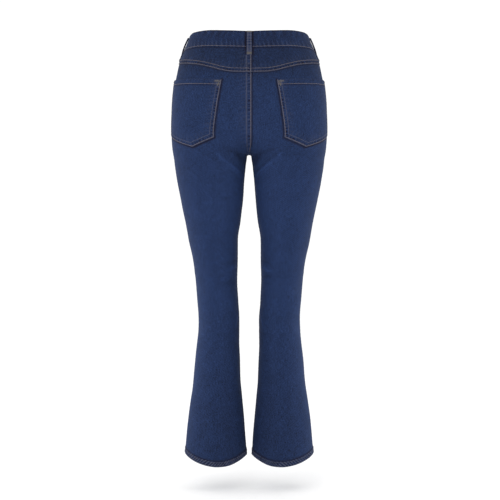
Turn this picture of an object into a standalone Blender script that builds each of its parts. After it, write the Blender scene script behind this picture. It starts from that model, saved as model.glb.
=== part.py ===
"""High-waisted bootcut jeans, filled out as when they are worn, with nobody in them.

Metres, +Z up. The back faces -Y and the wearer's right is +X. The origin is the middle of the
waist opening, level with the waistband's top edge at the sides.

Each half of the jeans is one tube round its own leg. Above the crotch the two tubes run into each
other and what would pass the middle is left out, so one table of level sections gives the hips,
the crotch curve and the legs. The panels are stretches of that form between its seams, given a
wall of cloth. A place on the form is a turn and a height: turn 0 is the centre back seam or the
inseam, 1 the side seam and 2 the centre front seam or the inseam again, negative on the wearer's
left.
"""

import math

import bmesh
import bpy
import numpy as np
from mathutils import Vector

MM = 0.001

# Cloth
CLOTH = 1.2 * MM  # one layer of denim
SEAM_GAP = 0.3 * MM  # between two pieces that are sewn together
SHARP_EDGE = math.radians(50)  # a wall's own edges are sharper than this, its cloth is smooth

# Heights of an edge or seam are tables of these two, in turns and millimetres
HEIGHT_COLUMNS = ("turn", "height")

# The form. Millimetres: height of the section, how far its outer edge, its centre line and its
# inner edge stand from the middle (an inner edge below zero has passed it), where it is widest
# front to back, and its back and front. The power is 2 for an ellipse, more for a squarer section
# and less for a leaner one.
SECTION_COLUMNS = ("height", "outer", "centre", "inner", "middle", "back", "front", "power")
SECTIONS = (
    (22, 139.0, 0, -139.0, 0, -84, 88, 2.30),  # above the waistband
    (-1, 145.0, 0, -145.0, 0, -88, 91, 2.32),
    (-18, 150.5, 0, -150.5, -3, -92, 94, 2.36),
    (-39, 159.0, 1, -158.0, -7, -99, 97, 2.42),
    (-59, 166.5, 3, -165.0, -11, -107, 99, 2.48),
    (-87, 172.2, 8, -168.0, -16.5, -117, 100, 2.52),
    (-121, 178.2, 18, -154.0, -22.5, -127, 99, 2.56),
    (-169, 182.8, 38, -108.0, -28, -135, 97, 2.60),
    (-217, 184.0, 62, -56.0, -30, -137, 93, 2.58),  # fullest at the seat
    (-241, 184.0, 74, -27.0, -28.6, -133.5, 91.2, 2.54),
    (-253, 183.4, 79, -13.0, -27.4, -130, 90.5, 2.50),
    (-265, 182.3, 83.6, -2.0, -26, -125.8, 89.7, 2.46),
    (-279, 180.6, 88.2, 8.0, -24.3, -120.8, 88.8, 2.415),  # crotch
    (-281, 180.3, 88.8, 9.2, -24, -120.1, 88.7, 2.408),
    (-289, 179.2, 90.8, 9.9, -22.9, -117.2, 88.2, 2.384),
    (-313, 176.5, 94, 12.1, -19.8, -108.8, 87.2, 2.32),
    (-337, 172.6, 93.2, 14.0, -17, -101, 86.6, 2.28),
    (-385, 163.4, 90, 17.1, -12, -92, 86, 2.20),
    (-433, 153.8, 88, 21.9, -6, -83, 84, 2.14),
    (-481, 145.4, 86, 28.3, 0, -75, 81, 2.08),
    (-529, 134.9, 82, 28.8, 2, -67, 76, 2.04),
    (-577, 128.6, 79, 29.8, 2, -62.5, 69, 2.00),  # knee
    (-625, 124.8, 76, 27.7, 0, -62, 62, 1.98),
    (-673, 121.4, 73, 24.9, -4, -64.5, 57, 1.95),  # narrowest
    (-721, 124.2, 74, 25.2, -6, -68, 55, 1.92),
    (-769, 129.7, 76, 23.7, -7, -71, 55, 1.88),
    (-817, 133.9, 77, 21.9, -7, -72, 56, 1.84),
    (-865, 139.8, 78, 17.9, -7, -73, 58, 1.80),
    (-913, 146.3, 79, 14.3, -7, -74, 60, 1.76),
    (-961, 151.0, 80, 11.2, -7, -75, 63, 1.70),
    (-1020, 156.5, 81, 8.9, -7, -77, 66, 1.65),  # below the hem
)
CROTCH = -279 * MM
CROTCH_ROUNDING = 8 * MM  # how round the cloth bridges the two tubes
SIDE_SEAM_FORWARD = 10 * MM  # from the widest point of the side
CURVE_SAMPLES = 160  # along each quarter of a section, for its running length

# Soft folds that the worn jeans hold, alike on both legs: the two ends of each, in turns and
# millimetres of height, and its half width and depth in millimetres.
FOLD_COLUMNS = ("turn_a", "height_a", "turn_b", "height_b", "half_width", "depth")
FOLDS = (
    (0.47, -281, 0.14, -322, 13, 3.2),  # under the seat
    (0.80, -262, 0.45, -300, 16, 1.6),
    (0.12, -596, 0.62, -566, 12, 2.2),  # behind the knee
    (0.35, -632, 0.85, -600, 13, 1.8),
    (1.40, -580, 1.85, -602, 14, 1.6),  # below the kneecap
    (1.96, -262, 1.45, -226, 13, 2.2),  # from the crotch over the front of the thigh
    (0.30, -850, 0.27, -1010, 20, 2.2),  # flutes of the flare
    (1.62, -830, 1.66, -1010, 20, 2.6),
)
FOLD_TURN = 220 * MM  # about how wide one turn is, for the folds' own distances
FOLD_FADE = 0.15  # share of the half wave along a fold that is left out at each end

# Waistband
BAND_HEIGHT = 41 * MM
BAND_THICKNESS = 2.6 * MM
BAND_PROUD = 0.8 * MM  # its outside stands this far out from the panels'
BAND_TOP = (
    (0, 5.5),
    (0.3, 8.5),
    (0.55, 11.0),
    (0.72, 10.5),
    (0.88, 4.5),
    (1, -1.0),
    (1.5, -11.0),
    (2, -16.0),
)
BAND_LAP_OVER = 12 * MM  # the left end runs this far past the centre front
BAND_LAP_UNDER = 24 * MM  # and the right end, below it
BAND_LAP_RAMP = 26 * MM  # length in which the right end dips below the left
BAND_COLUMNS = 62
BAND_ROWS = 2

# Yoke seam, by turn from the centre back to the side seam
YOKE_SEAM = ((0, -95), (0.16, -94), (0.26, -89), (0.39, -78), (0.51, -69), (0.75, -61), (1, -56))

# Panels
PANEL_COLUMNS = 11
FRONT_REACH = 1 - 1e-6  # a front's turns stop just short of 1, which is the back's side seam
ROWS_ABOVE_CROTCH = 12
ROW_CROWDING = 1.7  # rows crowd towards the crotch with this power of their number
LEG_STEPS = (0.8, 4, 10, 18)  # millimetres, the rows next below the crotch
LEG_ROWS = 21
HEM_DEPTH = 13 * MM
HEM_EDGE_STEP = 1.5 * MM
HEM_BULK = 0.8 * MM  # the fold makes the wall this much thicker on each face
HEM_SIDE = -996 * MM
HEM_TILT = 0.285  # the hem drops towards the back by this share of its depth
HEM_INNER_RISE = 0.026  # and rises towards the inseam

# Front pocket scoop, in turns back from the side seam and metres of height
SCOOP_TURNS = 0.46
SCOOP_DROP = 82 * MM
SCOOP_POWER = 2.4
FACING_REACH = 0.09  # turns that the facing runs on under the panel
FACING_TUCK = 18 * MM
FACING_CLEARANCE = 1.2 * MM
FACING_ROWS = 4

# Back pockets: corners in turns and millimetres
POCKET_COLUMNS = ("corner", "turn", "height")
POCKET_CORNERS = (
    ("top inner", 0.26, -113),
    ("top outer", 0.90, -104),
    ("bottom outer", 0.87, -236),
    ("point", 0.545, -267),
    ("bottom inner", 0.32, -246),
)
POCKET_GAPE = 1.6 * MM  # its top edge stands a little off the panel
POCKET_GAPE_POWER = 4  # the gape grows towards the top with this power of the height
CUT_REACH = 0.4 * MM  # a point this near to a pocket's edge moves onto it

# Belt loops
LOOP_WIDTH = 13 * MM
LOOP_LENGTH = 59 * MM
LOOP_THICKNESS = 1.8 * MM
LOOP_SLACK = 2.4 * MM  # how far its middle stands off the waistband
LOOP_FULLNESS = 0.7  # below 1, the bow stands off sooner at its ends
LOOP_ROWS = 8
LOOPS = (
    ("belt_loop_centre_back", 0.0),
    ("belt_loop_side_left", -0.93),
    ("belt_loop_side_right", 0.93),
    ("belt_loop_front_left", -1.5),
    ("belt_loop_front_right", 1.5),
)

# Fly flap, which the left front lays over the right
FLY_WIDTH = 36 * MM
FLY_LAP = 12 * MM
FLY_LENGTH = 135 * MM
FLY_CURVE = 40 * MM  # height over which the J turns in to the centre front
FLY_NARROWING = 0.8  # how much of the squared width the J has taken at the bottom
FLY_CLEARANCE = 0.45 * MM
FLY_COLUMNS = 7
FLY_ROWS = 9

# Button
BUTTON_RADIUS = 8.5 * MM
BUTTON_SEGMENTS = 24
BUTTON_COLUMNS = ("radius", "height")  # in shares of the button's radius
BUTTON_PROFILE = (
    (0, 0),  # middle of the shank's foot
    (0.45, 0),
    (0.45, 0.10),
    (0.92, 0.10),  # under the rim
    (1, 0.22),
    (0.90, 0.36),  # top of the rim
    (0.70, 0.30),
    (0.30, 0.36),
    (0, 0.38),  # middle of the domed face
)

DENIM = (0.018, 0.034, 0.095)
DENIM_ROUGHNESS = 0.85
BRASS = (0.42, 0.26, 0.12)
BRASS_ROUGHNESS = 0.35


def clear_scene():
    """Takes every object out of the scene."""
    for ob in list(bpy.data.objects):
        bpy.data.objects.remove(ob, do_unlink=True)


def eased(stations, values, at):
    """A cubic through the stations that never swings past its neighbours: each slope is the
    weighted harmonic mean of the two beside it, and level where the values turn back."""
    step = np.diff(stations)
    rise = np.diff(values) / step
    before, after = rise[:-1], rise[1:]
    heavy, light = 2 * step[1:] + step[:-1], step[1:] + 2 * step[:-1]
    same_way = before * after > 0
    safe_before = np.where(same_way, before, 1)
    safe_after = np.where(same_way, after, 1)
    mean = (heavy + light) / (heavy / safe_before + light / safe_after)
    slope = np.concatenate(([rise[0]], np.where(same_way, mean, 0), [rise[-1]]))
    place = np.searchsorted(stations, at).clip(1, len(stations) - 1) - 1
    share = ((at - stations[place]) / step[place]).clip(0, 1)
    start, end = values[place], values[place + 1]
    leave, arrive = slope[place] * step[place], slope[place + 1] * step[place]
    return (
        start * (1 + 2 * share) * (1 - share) ** 2
        + leave * share * (1 - share) ** 2
        + end * share**2 * (3 - 2 * share)
        + arrive * share**2 * (share - 1)
    )


def from_table(rows, turn):
    """Height at each turn, from a table of turns and heights."""
    table = dict(zip(HEIGHT_COLUMNS, np.array(rows, float).T))
    return eased(table["turn"], table["height"], np.asarray(turn, float)) * MM


def section(height):
    """The section at each height, in metres: the tube's centre line, its half widths towards the
    middle and away from it, where it is widest, how far it reaches back and forward from there,
    its power, and the angle that it starts at."""
    table = np.array(SECTIONS, float)[::-1]
    columns = {
        name: eased(table[:, 0], table[:, i], height / MM) * MM
        for i, name in enumerate(SECTION_COLUMNS)
    }
    centre, middle = columns["centre"], columns["middle"]
    inner, outer = centre - columns["inner"], columns["outer"] - centre
    power = columns["power"] / MM
    to_middle = centre - CROTCH_ROUNDING
    cosine = (to_middle / np.where(to_middle > 0, inner, outer)).clip(-1, 1)
    return {
        "centre": centre,
        "inner": inner,
        "outer": outer,
        "middle": middle,
        "back": columns["back"] - middle,
        "front": columns["front"] - middle,
        "power": power,
        "start": np.arccos(np.sign(cosine) * np.abs(cosine) ** (power / 2)),
    }


def on_section(angle, form):
    """The point at an angle round the tube, 0 at its inner edge, pi at its outer edge. The middle
    is rounded: a distance from it stands for the long side of a right triangle whose short side
    is the rounding."""
    cosine, sine = np.cos(angle), np.sin(angle)
    across = np.abs(cosine) ** (2 / form["power"])
    along = np.abs(sine) ** (2 / form["power"])
    aside = np.where(cosine > 0, -form["inner"], form["outer"]) * across
    x = np.sqrt(np.maximum((form["centre"] + aside) ** 2 - CROTCH_ROUNDING**2, 0))
    y = form["middle"] + np.where(sine >= 0, form["back"], form["front"]) * along
    return x, y


def running_length(height):
    """Angles along each section, and the length run from its start to each of them."""
    form = {name: value[:, None] for name, value in section(height).items()}
    crowd = np.linspace(0, 1, CURVE_SAMPLES) ** 2
    back = form["start"] + (math.pi - form["start"]) * crowd
    angle = np.concatenate((back, 2 * math.pi - back[:, -2::-1]), axis=1)
    x, y = on_section(angle, form)
    run = np.cumsum(np.hypot(np.diff(x), np.diff(y)), axis=1)
    return angle, np.concatenate((np.zeros_like(run[:, :1]), run), axis=1)


def rowwise(at, stations, values):
    """Linear interpolation in which each row has stations and values of its own."""
    place = (stations < at[:, None]).sum(1).clip(1, stations.shape[1] - 1)[:, None]
    low, high = (np.take_along_axis(stations, place - k, 1)[:, 0] for k in (1, 0))
    start, end = (np.take_along_axis(values, place - k, 1)[:, 0] for k in (1, 0))
    share = (at - low) / np.maximum(high - low, 1e-12)
    return start + (end - start) * share


def level(x, y, height):
    """Below one inside the form, one on it and above one outside."""
    form = section(height)
    aside = np.hypot(x, CROTCH_ROUNDING) - form["centre"]
    across = aside / np.where(aside < 0, form["inner"], form["outer"])
    depth = y - form["middle"]
    along = depth / np.where(depth < 0, -form["back"], form["front"])
    return np.abs(across) ** form["power"] + np.abs(along) ** form["power"]


def outward(x, y, height):
    """The direction in which the form's level rises fastest."""
    nudge = 0.5 * MM
    slopes = [
        level(x + nudge, y, height) - level(np.abs(x - nudge), y, height),
        level(x, y + nudge, height) - level(x, y - nudge, height),
        level(x, y, height + nudge) - level(x, y, height - nudge),
    ]
    direction = np.stack(slopes, -1)
    return direction / np.linalg.norm(direction, axis=-1, keepdims=True)


def fold_depth(turn, height):
    """How far the folds draw the cloth in: for each, its depth times a bell across it, fading to
    its two ends."""
    depth = np.zeros_like(turn)
    place = np.stack((turn * FOLD_TURN, height), -1)
    for row in FOLDS:
        fold = dict(zip(FOLD_COLUMNS, row))
        a = np.array((fold["turn_a"] * FOLD_TURN, fold["height_a"] * MM))
        b = np.array((fold["turn_b"] * FOLD_TURN, fold["height_b"] * MM))
        share = ((place - a) @ (b - a) / ((b - a) @ (b - a))).clip(0, 1)
        off = np.linalg.norm(place - a - share[..., None] * (b - a), axis=-1)
        bell = np.exp(-((off / (fold["half_width"] * MM)) ** 2))
        along = np.sin(math.pi * (FOLD_FADE + (1 - 2 * FOLD_FADE) * share))
        depth += fold["depth"] * MM * bell * along
    return depth


def around(turn, height, inset=0.0):
    """The form's outside at each turn and height, and the way it faces there. inset draws the
    seams in from both sides, for a panel's own edges. Past turn 2 it goes on over the other
    side."""
    turn, height = (a.ravel().astype(float) for a in np.broadcast_arrays(turn, height))
    side = np.copysign(1.0, turn) * np.where(np.abs(turn) > 2, -1, 1)
    turn = np.where(np.abs(turn) > 2, 4 - np.abs(turn), np.abs(turn))
    angle, run = running_length(height)
    side_run = run[:, CURVE_SAMPLES - 1] + SIDE_SEAM_FORWARD
    back_run = inset + turn * (side_run - 2 * inset)
    front_run = side_run + inset + (turn - 1) * (run[:, -1] - side_run - 2 * inset)
    here = rowwise(np.where(turn <= 1, back_run, front_run), run, angle)
    x, y = on_section(here, section(height))
    facing = outward(x, y, height)
    point = np.stack((x, y, height), -1) - facing * fold_depth(turn, height)[:, None]
    mirror = np.stack((side, np.ones_like(side), np.ones_like(side)), -1)
    return point * mirror, facing * mirror


def grid_triangles(rows, columns):
    """Two triangles for each cell of a grid of rows by columns points."""
    corner = np.arange(rows * columns).reshape(rows, columns)
    a, b = corner[:-1, :-1].ravel(), corner[:-1, 1:].ravel()
    c, d = corner[1:, 1:].ravel(), corner[1:, :-1].ravel()
    return np.concatenate((np.stack((a, b, c), -1), np.stack((a, c, d), -1)))


def facing_out(points, facing, faces):
    """The faces, turned round if they look away from the outward side."""
    a, b, c = (points[faces[:, k]] for k in range(3))
    seen = (np.cross(b - a, c - a) * facing[faces[:, 0]]).sum()
    return faces if seen > 0 else faces[:, ::-1]


def walled(inside, outside, faces):
    """Vertices and faces of the closed body between two copies of a sheet of triangles."""
    count = len(outside)
    edges = {(int(f[k]), int(f[k - 2])) for f in faces for k in range(3)}
    rim = []
    for a, b in sorted(edges):
        if (b, a) not in edges:
            rim += [(b, a, a + count), (b, a + count, b + count)]
    inner = faces[:, ::-1] + count
    return np.concatenate((outside, inside)), np.concatenate((faces, inner, np.array(rim)))


def add_piece(name, points, faces, colour=DENIM, roughness=DENIM_ROUGHNESS, metallic=0.0):
    """A named object with a material of its own."""
    mesh = bpy.data.meshes.new(name)
    mesh.from_pydata(points.tolist(), [], faces.tolist())
    mesh.validate()
    mesh.shade_smooth()
    mesh.set_sharp_from_angle(angle=SHARP_EDGE)
    material = bpy.data.materials.new(name)
    material.use_nodes = True
    shader = material.node_tree.nodes["Principled BSDF"]
    shader.inputs["Base Color"].default_value = (*colour, 1)
    shader.inputs["Roughness"].default_value = roughness
    shader.inputs["Metallic"].default_value = metallic
    mesh.materials.append(material)
    ob = bpy.data.objects.new(name, mesh)
    bpy.context.collection.objects.link(ob)
    return ob


def add_sheet(name, points, facing, faces, lift=0.0, thickness=CLOTH):
    """A wall of cloth from a sheet: its inside is lifted off the sheet along the way it faces."""
    faces = facing_out(points, facing, faces)
    lift = np.broadcast_to(lift, len(points))[:, None]
    thickness = np.broadcast_to(thickness, len(points))[:, None]
    inside = points + facing * lift
    return add_piece(name, *walled(inside, inside + facing * thickness, faces))


def turn_length(turn):
    """The length of one turn along the middle of the waistband, at a place on it."""
    _, run = running_length(np.array([band_top(turn) - BAND_HEIGHT / 2]))
    back = run[0, CURVE_SAMPLES - 1] + SIDE_SEAM_FORWARD
    return back if abs(turn) <= 1 else run[0, -1] - back


def band_top(turn):
    """Height of the waistband's top edge."""
    return from_table(BAND_TOP, 2 - np.abs(2 - np.abs(turn)))


def band_bottom(turn):
    """Height of the waistband's bottom edge."""
    return band_top(turn) - BAND_HEIGHT


def yoke_seam(turn):
    """Height of the seam below the yoke."""
    return from_table(YOKE_SEAM, np.minimum(np.abs(turn), 1))


def scoop(turn):
    """Height of a front panel's top edge: the waistband, and from the start of the pocket a
    quarter of a rounded square down to the side seam."""
    into = ((turn - 1) / SCOOP_TURNS).clip(0, 1)
    drop = (1 - into**SCOOP_POWER) ** (1 / SCOOP_POWER)
    return band_bottom(turn) - SCOOP_DROP * drop


def hem(turn):
    """Height of the hem's edge: lowest at the back and a little higher at the inseam."""
    point, _ = around(turn, HEM_SIDE)
    form = section(np.full(len(point), HEM_SIDE))
    back = (point[:, 1] - form["middle"]) * HEM_TILT
    inner = (np.abs(point[:, 0]) - form["centre"] - form["outer"]) * HEM_INNER_RISE
    return (HEM_SIDE + back - inner).reshape(np.shape(turn))


def leg_rows():
    """Shares of the way from the crotch to the hem at which a panel has its rows."""
    length = CROTCH - HEM_SIDE
    close = np.cumsum(LEG_STEPS) * MM / length
    end = 1 - (HEM_DEPTH + HEM_EDGE_STEP) / length
    even = np.linspace(close[-1], end, LEG_ROWS + 1)[1:]
    return np.concatenate((close, even, [1 - HEM_DEPTH / length, 1]))


def panel_sheet(turns, top_edge):
    """Points, facings and triangles of a panel from its top edge to the hem. Its rows share out
    the height, closer together towards the crotch, where the form changes fastest."""
    above = (np.arange(ROWS_ABOVE_CROTCH, -1, -1) / ROWS_ABOVE_CROTCH) ** ROW_CROWDING
    below = leg_rows()
    edge = top_edge(turns) - SEAM_GAP / 2
    high = CROTCH + above[:, None] * (edge - CROTCH)
    low = CROTCH + below[:, None] * (hem(turns) - CROTCH)
    height = np.concatenate((high, low))
    grid = np.broadcast_to(turns, height.shape)
    points, facing = around(grid, height, SEAM_GAP / 2)
    in_hem = np.arange(len(height)) >= len(height) - 2
    bulk = np.repeat(in_hem * HEM_BULK, len(turns))
    return points, facing, grid_triangles(*height.shape), bulk


def add_panels():
    """The back and front panels, each from its middle seam to the side seam. The sheet is the
    cloth's outside, so the wall is lifted inward. Returns the back sheets for the pockets."""
    backs = {}
    share = np.linspace(0, 1, PANEL_COLUMNS + 1)
    for side_name, side in (("left", -1), ("right", 1)):
        front = side * (2 - FRONT_REACH * share)
        parts = (("back", side * share, yoke_seam), ("front", front, front_top))
        for part, turns, top_edge in parts:
            points, facing, faces, bulk = panel_sheet(turns, top_edge)
            name = f"{part}_panel_{side_name}"
            add_sheet(name, points, facing, faces, -CLOTH - bulk, CLOTH + 2 * bulk)
            if part == "back":
                backs[side_name] = points, facing, faces
    return backs


def front_top(turn):
    """Top edge of a front panel on either side."""
    return scoop(np.abs(turn))


def add_yokes():
    """The yokes, between the waistband and the back panels."""
    share = np.linspace(0, 1, PANEL_COLUMNS + 1)
    rows = np.linspace(0, 1, 3)[:, None]
    for side_name, side in (("left", -1), ("right", 1)):
        turns = side * share
        high = band_bottom(turns) - SEAM_GAP / 2
        low = yoke_seam(turns) + SEAM_GAP / 2
        height = high + rows * (low - high)
        points, facing = around(np.broadcast_to(turns, height.shape), height, SEAM_GAP / 2)
        faces = grid_triangles(*height.shape)
        add_sheet(f"yoke_{side_name}", points, facing, faces, -CLOTH)


def add_facings():
    """The cloth that shows in the scoops of the front pockets, set inside the front panels."""
    share = np.linspace(0, 1, PANEL_COLUMNS + 1)
    turns = 2 - FRONT_REACH * share[share >= 1 - SCOOP_TURNS - FACING_REACH]
    for side_name, side in (("left", -1), ("right", 1)):
        high = band_bottom(turns) - SEAM_GAP / 2
        low = np.minimum(scoop(turns - FACING_REACH / 2) - FACING_TUCK, high - FACING_TUCK)
        rows = np.linspace(0, 1, FACING_ROWS + 1)[:, None]
        height = high + rows * (low - high)
        grid = np.broadcast_to(side * turns, height.shape)
        points, facing = around(grid, height, SEAM_GAP / 2)
        lift = -2 * CLOTH - FACING_CLEARANCE
        name = f"front_pocket_facing_{side_name}"
        add_sheet(name, points, facing, grid_triangles(*height.shape), lift)


def add_waistband():
    """A band round the waist. At the centre front its left end lies over its right end."""
    one = turn_length(2)
    turns = np.linspace(-2 - BAND_LAP_OVER / one, 2 + BAND_LAP_UNDER / one, BAND_COLUMNS + 1)
    rows = np.linspace(0, 1, BAND_ROWS + 1)[:, None]
    high, low = band_top(turns), band_bottom(turns) + SEAM_GAP / 2
    height = high + rows * (low - high)
    grid = np.broadcast_to(turns, height.shape)
    points, facing = around(grid, height)
    ramp_start = 2 - (BAND_LAP_OVER + BAND_LAP_RAMP) / one
    into = ((grid.ravel() - ramp_start) * one / BAND_LAP_RAMP).clip(0, 1)
    dip = into**2 * (3 - 2 * into) * (BAND_THICKNESS + SEAM_GAP)
    lift = BAND_PROUD - BAND_THICKNESS - dip
    faces = grid_triangles(*height.shape)
    return add_sheet("waistband", points, facing, faces, lift, BAND_THICKNESS)


def pocket_corners():
    """Turns and heights of a pocket's corners."""
    table = dict(zip(POCKET_COLUMNS, zip(*POCKET_CORNERS)))
    return np.array(table["turn"]), np.array(table["height"]) * MM


def pocket_cuts(side):
    """For each edge of a pocket, a point on it and the way out of the pocket along the cloth."""
    turns, heights = pocket_corners()
    turns = side * turns
    corners, _ = around(turns, heights)
    centre, _ = around(turns.mean(), heights.mean())
    edge_turns, edge_heights = (
        (ends + np.roll(ends, -1)) / 2 for ends in (turns, heights)
    )
    _, facing = around(edge_turns, edge_heights)
    across = np.cross(np.roll(corners, -1, 0) - corners, facing)
    inward = ((centre - corners) * across).sum(-1) > 0
    return zip(corners, np.where(inward[:, None], -across, across))


def add_pockets(backs):
    """The patch pockets, cut out of the back panels' own outside by a plane along each edge and
    moved out."""
    _, heights = pocket_corners()
    for side_name, (points, facing, faces) in backs.items():
        side = -1 if side_name == "left" else 1
        mesh = bmesh.new()
        verts = [mesh.verts.new(p) for p in points]
        for face in facing_out(points, facing, faces):
            mesh.faces.new([verts[i] for i in face])
        for corner, out in pocket_cuts(side):
            bmesh.ops.bisect_plane(
                mesh,
                geom=mesh.verts[:] + mesh.edges[:] + mesh.faces[:],
                dist=CUT_REACH,
                plane_co=corner,
                plane_no=out,
                clear_outer=True,
            )
        bmesh.ops.triangulate(mesh, faces=mesh.faces[:])
        mesh.verts.index_update()
        cut = np.array([v.co[:] for v in mesh.verts])
        cut_faces = np.array([[v.index for v in f.verts] for f in mesh.faces])
        mesh.free()
        cut_facing = outward(np.abs(cut[:, 0]), cut[:, 1], cut[:, 2]) * (side, 1, 1)
        top = (cut[:, 2] - heights.min()) / np.ptp(heights)
        lift = SEAM_GAP + POCKET_GAPE * top.clip(0, 1) ** POCKET_GAPE_POWER
        add_sheet(f"back_pocket_{side_name}", cut, cut_facing, cut_faces, lift)


def add_belt_loops():
    """Strips from the waistband's top edge over it, down to the cloth below it. Their middles
    stand off the band."""
    for name, turn in LOOPS:
        top = band_top(turn)
        down = np.linspace(0, 1, LOOP_ROWS + 1)
        height = top - down * LOOP_LENGTH
        beside = np.array((-0.5, 0, 0.5)) * LOOP_WIDTH / turn_length(turn)
        grid_turn, grid_height = np.meshgrid(turn + beside, height)
        points, facing = around(grid_turn, grid_height)
        band_share = BAND_HEIGHT / LOOP_LENGTH
        bow = np.sin(math.pi * (down / band_share).clip(0, 1)) ** LOOP_FULLNESS
        ease = ((down - band_share) / (1 - band_share)).clip(0, 1)
        off = SEAM_GAP + LOOP_SLACK * bow + BAND_PROUD * (1 - ease)
        faces = grid_triangles(*grid_turn.shape)
        lift = np.repeat(off, len(beside))
        add_sheet(name, points, facing, faces, lift, LOOP_THICKNESS)


def add_fly():
    """The flap over the closed front: a strip along the centre front whose left edge turns in
    at the bottom in a J."""
    share = np.linspace(0, 1, FLY_ROWS + 1)
    height = band_bottom(2) - SEAM_GAP - share * FLY_LENGTH
    bend = ((share - 1) * FLY_LENGTH / FLY_CURVE + 1).clip(0, 1)
    width = FLY_WIDTH * np.sqrt(1 - FLY_NARROWING * bend**2)
    across = np.linspace(0, 1, FLY_COLUMNS + 1)
    x = FLY_LAP - across * (FLY_LAP + width[:, None])
    grid_height = np.broadcast_to(height[:, None], x.shape)
    turn = 2 - np.abs(x) / turn_length(2)
    points, facing = around(np.where(x < 0, -turn, turn), grid_height)
    faces = grid_triangles(*x.shape)
    return add_sheet("fly", points, facing, faces, FLY_CLEARANCE)


def add_button():
    """A shank button at the middle of the band's lapped ends: a turned profile."""
    height = band_top(2) - BAND_HEIGHT / 2
    point, facing = around(2.0, height)
    table = dict(zip(BUTTON_COLUMNS, BUTTON_RADIUS * np.array(BUTTON_PROFILE).T))
    profile = list(zip(table["radius"], table["height"]))
    turns = 2 * math.pi * np.arange(BUTTON_SEGMENTS) / BUTTON_SEGMENTS
    rings = [
        np.stack((r * np.cos(turns), r * np.sin(turns), np.full_like(turns, z)), -1)
        for r, z in profile[1:-1]
    ]
    points = np.concatenate(rings + [[(0, 0, profile[0][1])], [(0, 0, profile[-1][1])]])
    faces = []
    for ring in range(len(rings)):
        for k in range(BUTTON_SEGMENTS):
            a = ring * BUTTON_SEGMENTS + k
            b = ring * BUTTON_SEGMENTS + (k + 1) % BUTTON_SEGMENTS
            if ring + 1 < len(rings):
                faces += [(a, b, b + BUTTON_SEGMENTS), (a, b + BUTTON_SEGMENTS, a + BUTTON_SEGMENTS)]
            if ring == 0:
                faces.append((b, a, len(points) - 2))
            if ring + 1 == len(rings):
                faces.append((a, b, len(points) - 1))
    faces = np.array(faces)
    button = add_piece("button", points, faces, BRASS, BRASS_ROUGHNESS, 1.0)
    out = Vector(facing[0])
    button.rotation_euler = out.to_track_quat("Z", "Y").to_euler()
    button.location = Vector(point[0]) + out * (BAND_PROUD + SEAM_GAP)
    return button


def build():
    """All the pieces."""
    clear_scene()
    backs = add_panels()
    add_yokes()
    add_waistband()
    add_pockets(backs)
    add_belt_loops()
    add_facings()
    add_fly()
    add_button()


if __name__ == "__main__":
    build()
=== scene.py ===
"""Bootcut jeans in dark blue stretch denim, seen from behind as when they are worn.

Each piece of cloth is worked out as a grid on the form of the jeans, whose solids are the frame, and
gets its seams, hems, puckers and creases in millimetres. A place on the form is a side (-1 is the
wearer's left, 1 the right), a turn (0 the centre back or the inseam, 1 the side seam, 2 the centre
front or the inseam again) and a height. A cloth function gives the points of a piece's outside there,
the way that they face and their wear and painted shade (1 worn pale, -1 as dark as new, a dark that
also stands for painted shade in dips, seam grooves and beside and under raised edges). The thread is
modelled stitch by stitch on the same functions.
"""

import functools
import math

import bpy
import numpy as np
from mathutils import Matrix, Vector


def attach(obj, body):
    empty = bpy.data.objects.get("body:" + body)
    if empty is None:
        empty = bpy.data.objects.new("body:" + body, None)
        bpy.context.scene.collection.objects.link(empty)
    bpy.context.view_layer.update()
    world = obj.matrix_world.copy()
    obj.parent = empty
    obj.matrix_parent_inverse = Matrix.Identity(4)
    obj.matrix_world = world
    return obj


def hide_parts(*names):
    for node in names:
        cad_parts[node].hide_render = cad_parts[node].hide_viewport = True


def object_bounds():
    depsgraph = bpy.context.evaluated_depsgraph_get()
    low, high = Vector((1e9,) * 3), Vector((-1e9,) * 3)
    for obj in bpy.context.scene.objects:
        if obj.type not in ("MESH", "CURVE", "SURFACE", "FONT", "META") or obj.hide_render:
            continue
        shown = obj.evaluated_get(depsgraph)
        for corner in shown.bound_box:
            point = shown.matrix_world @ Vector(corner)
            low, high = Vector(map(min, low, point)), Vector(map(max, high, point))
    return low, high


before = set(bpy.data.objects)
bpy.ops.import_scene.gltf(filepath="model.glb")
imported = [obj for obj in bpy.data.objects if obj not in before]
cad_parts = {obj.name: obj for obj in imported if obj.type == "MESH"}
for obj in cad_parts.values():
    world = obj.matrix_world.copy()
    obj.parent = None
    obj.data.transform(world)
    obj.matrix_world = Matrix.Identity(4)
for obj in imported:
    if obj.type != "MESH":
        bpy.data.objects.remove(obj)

bl_info = {
    "name": "Bootcut jeans",
    "version": (1, 0, 0),
    "blender": (4, 5, 0),
    "location": "View3D > Sidebar > Jeans",
    "description": "Denim, topstitching and button for a pair of bootcut jeans",
    "category": "Object",
}

CAD_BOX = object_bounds()
MM = 0.001

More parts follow.
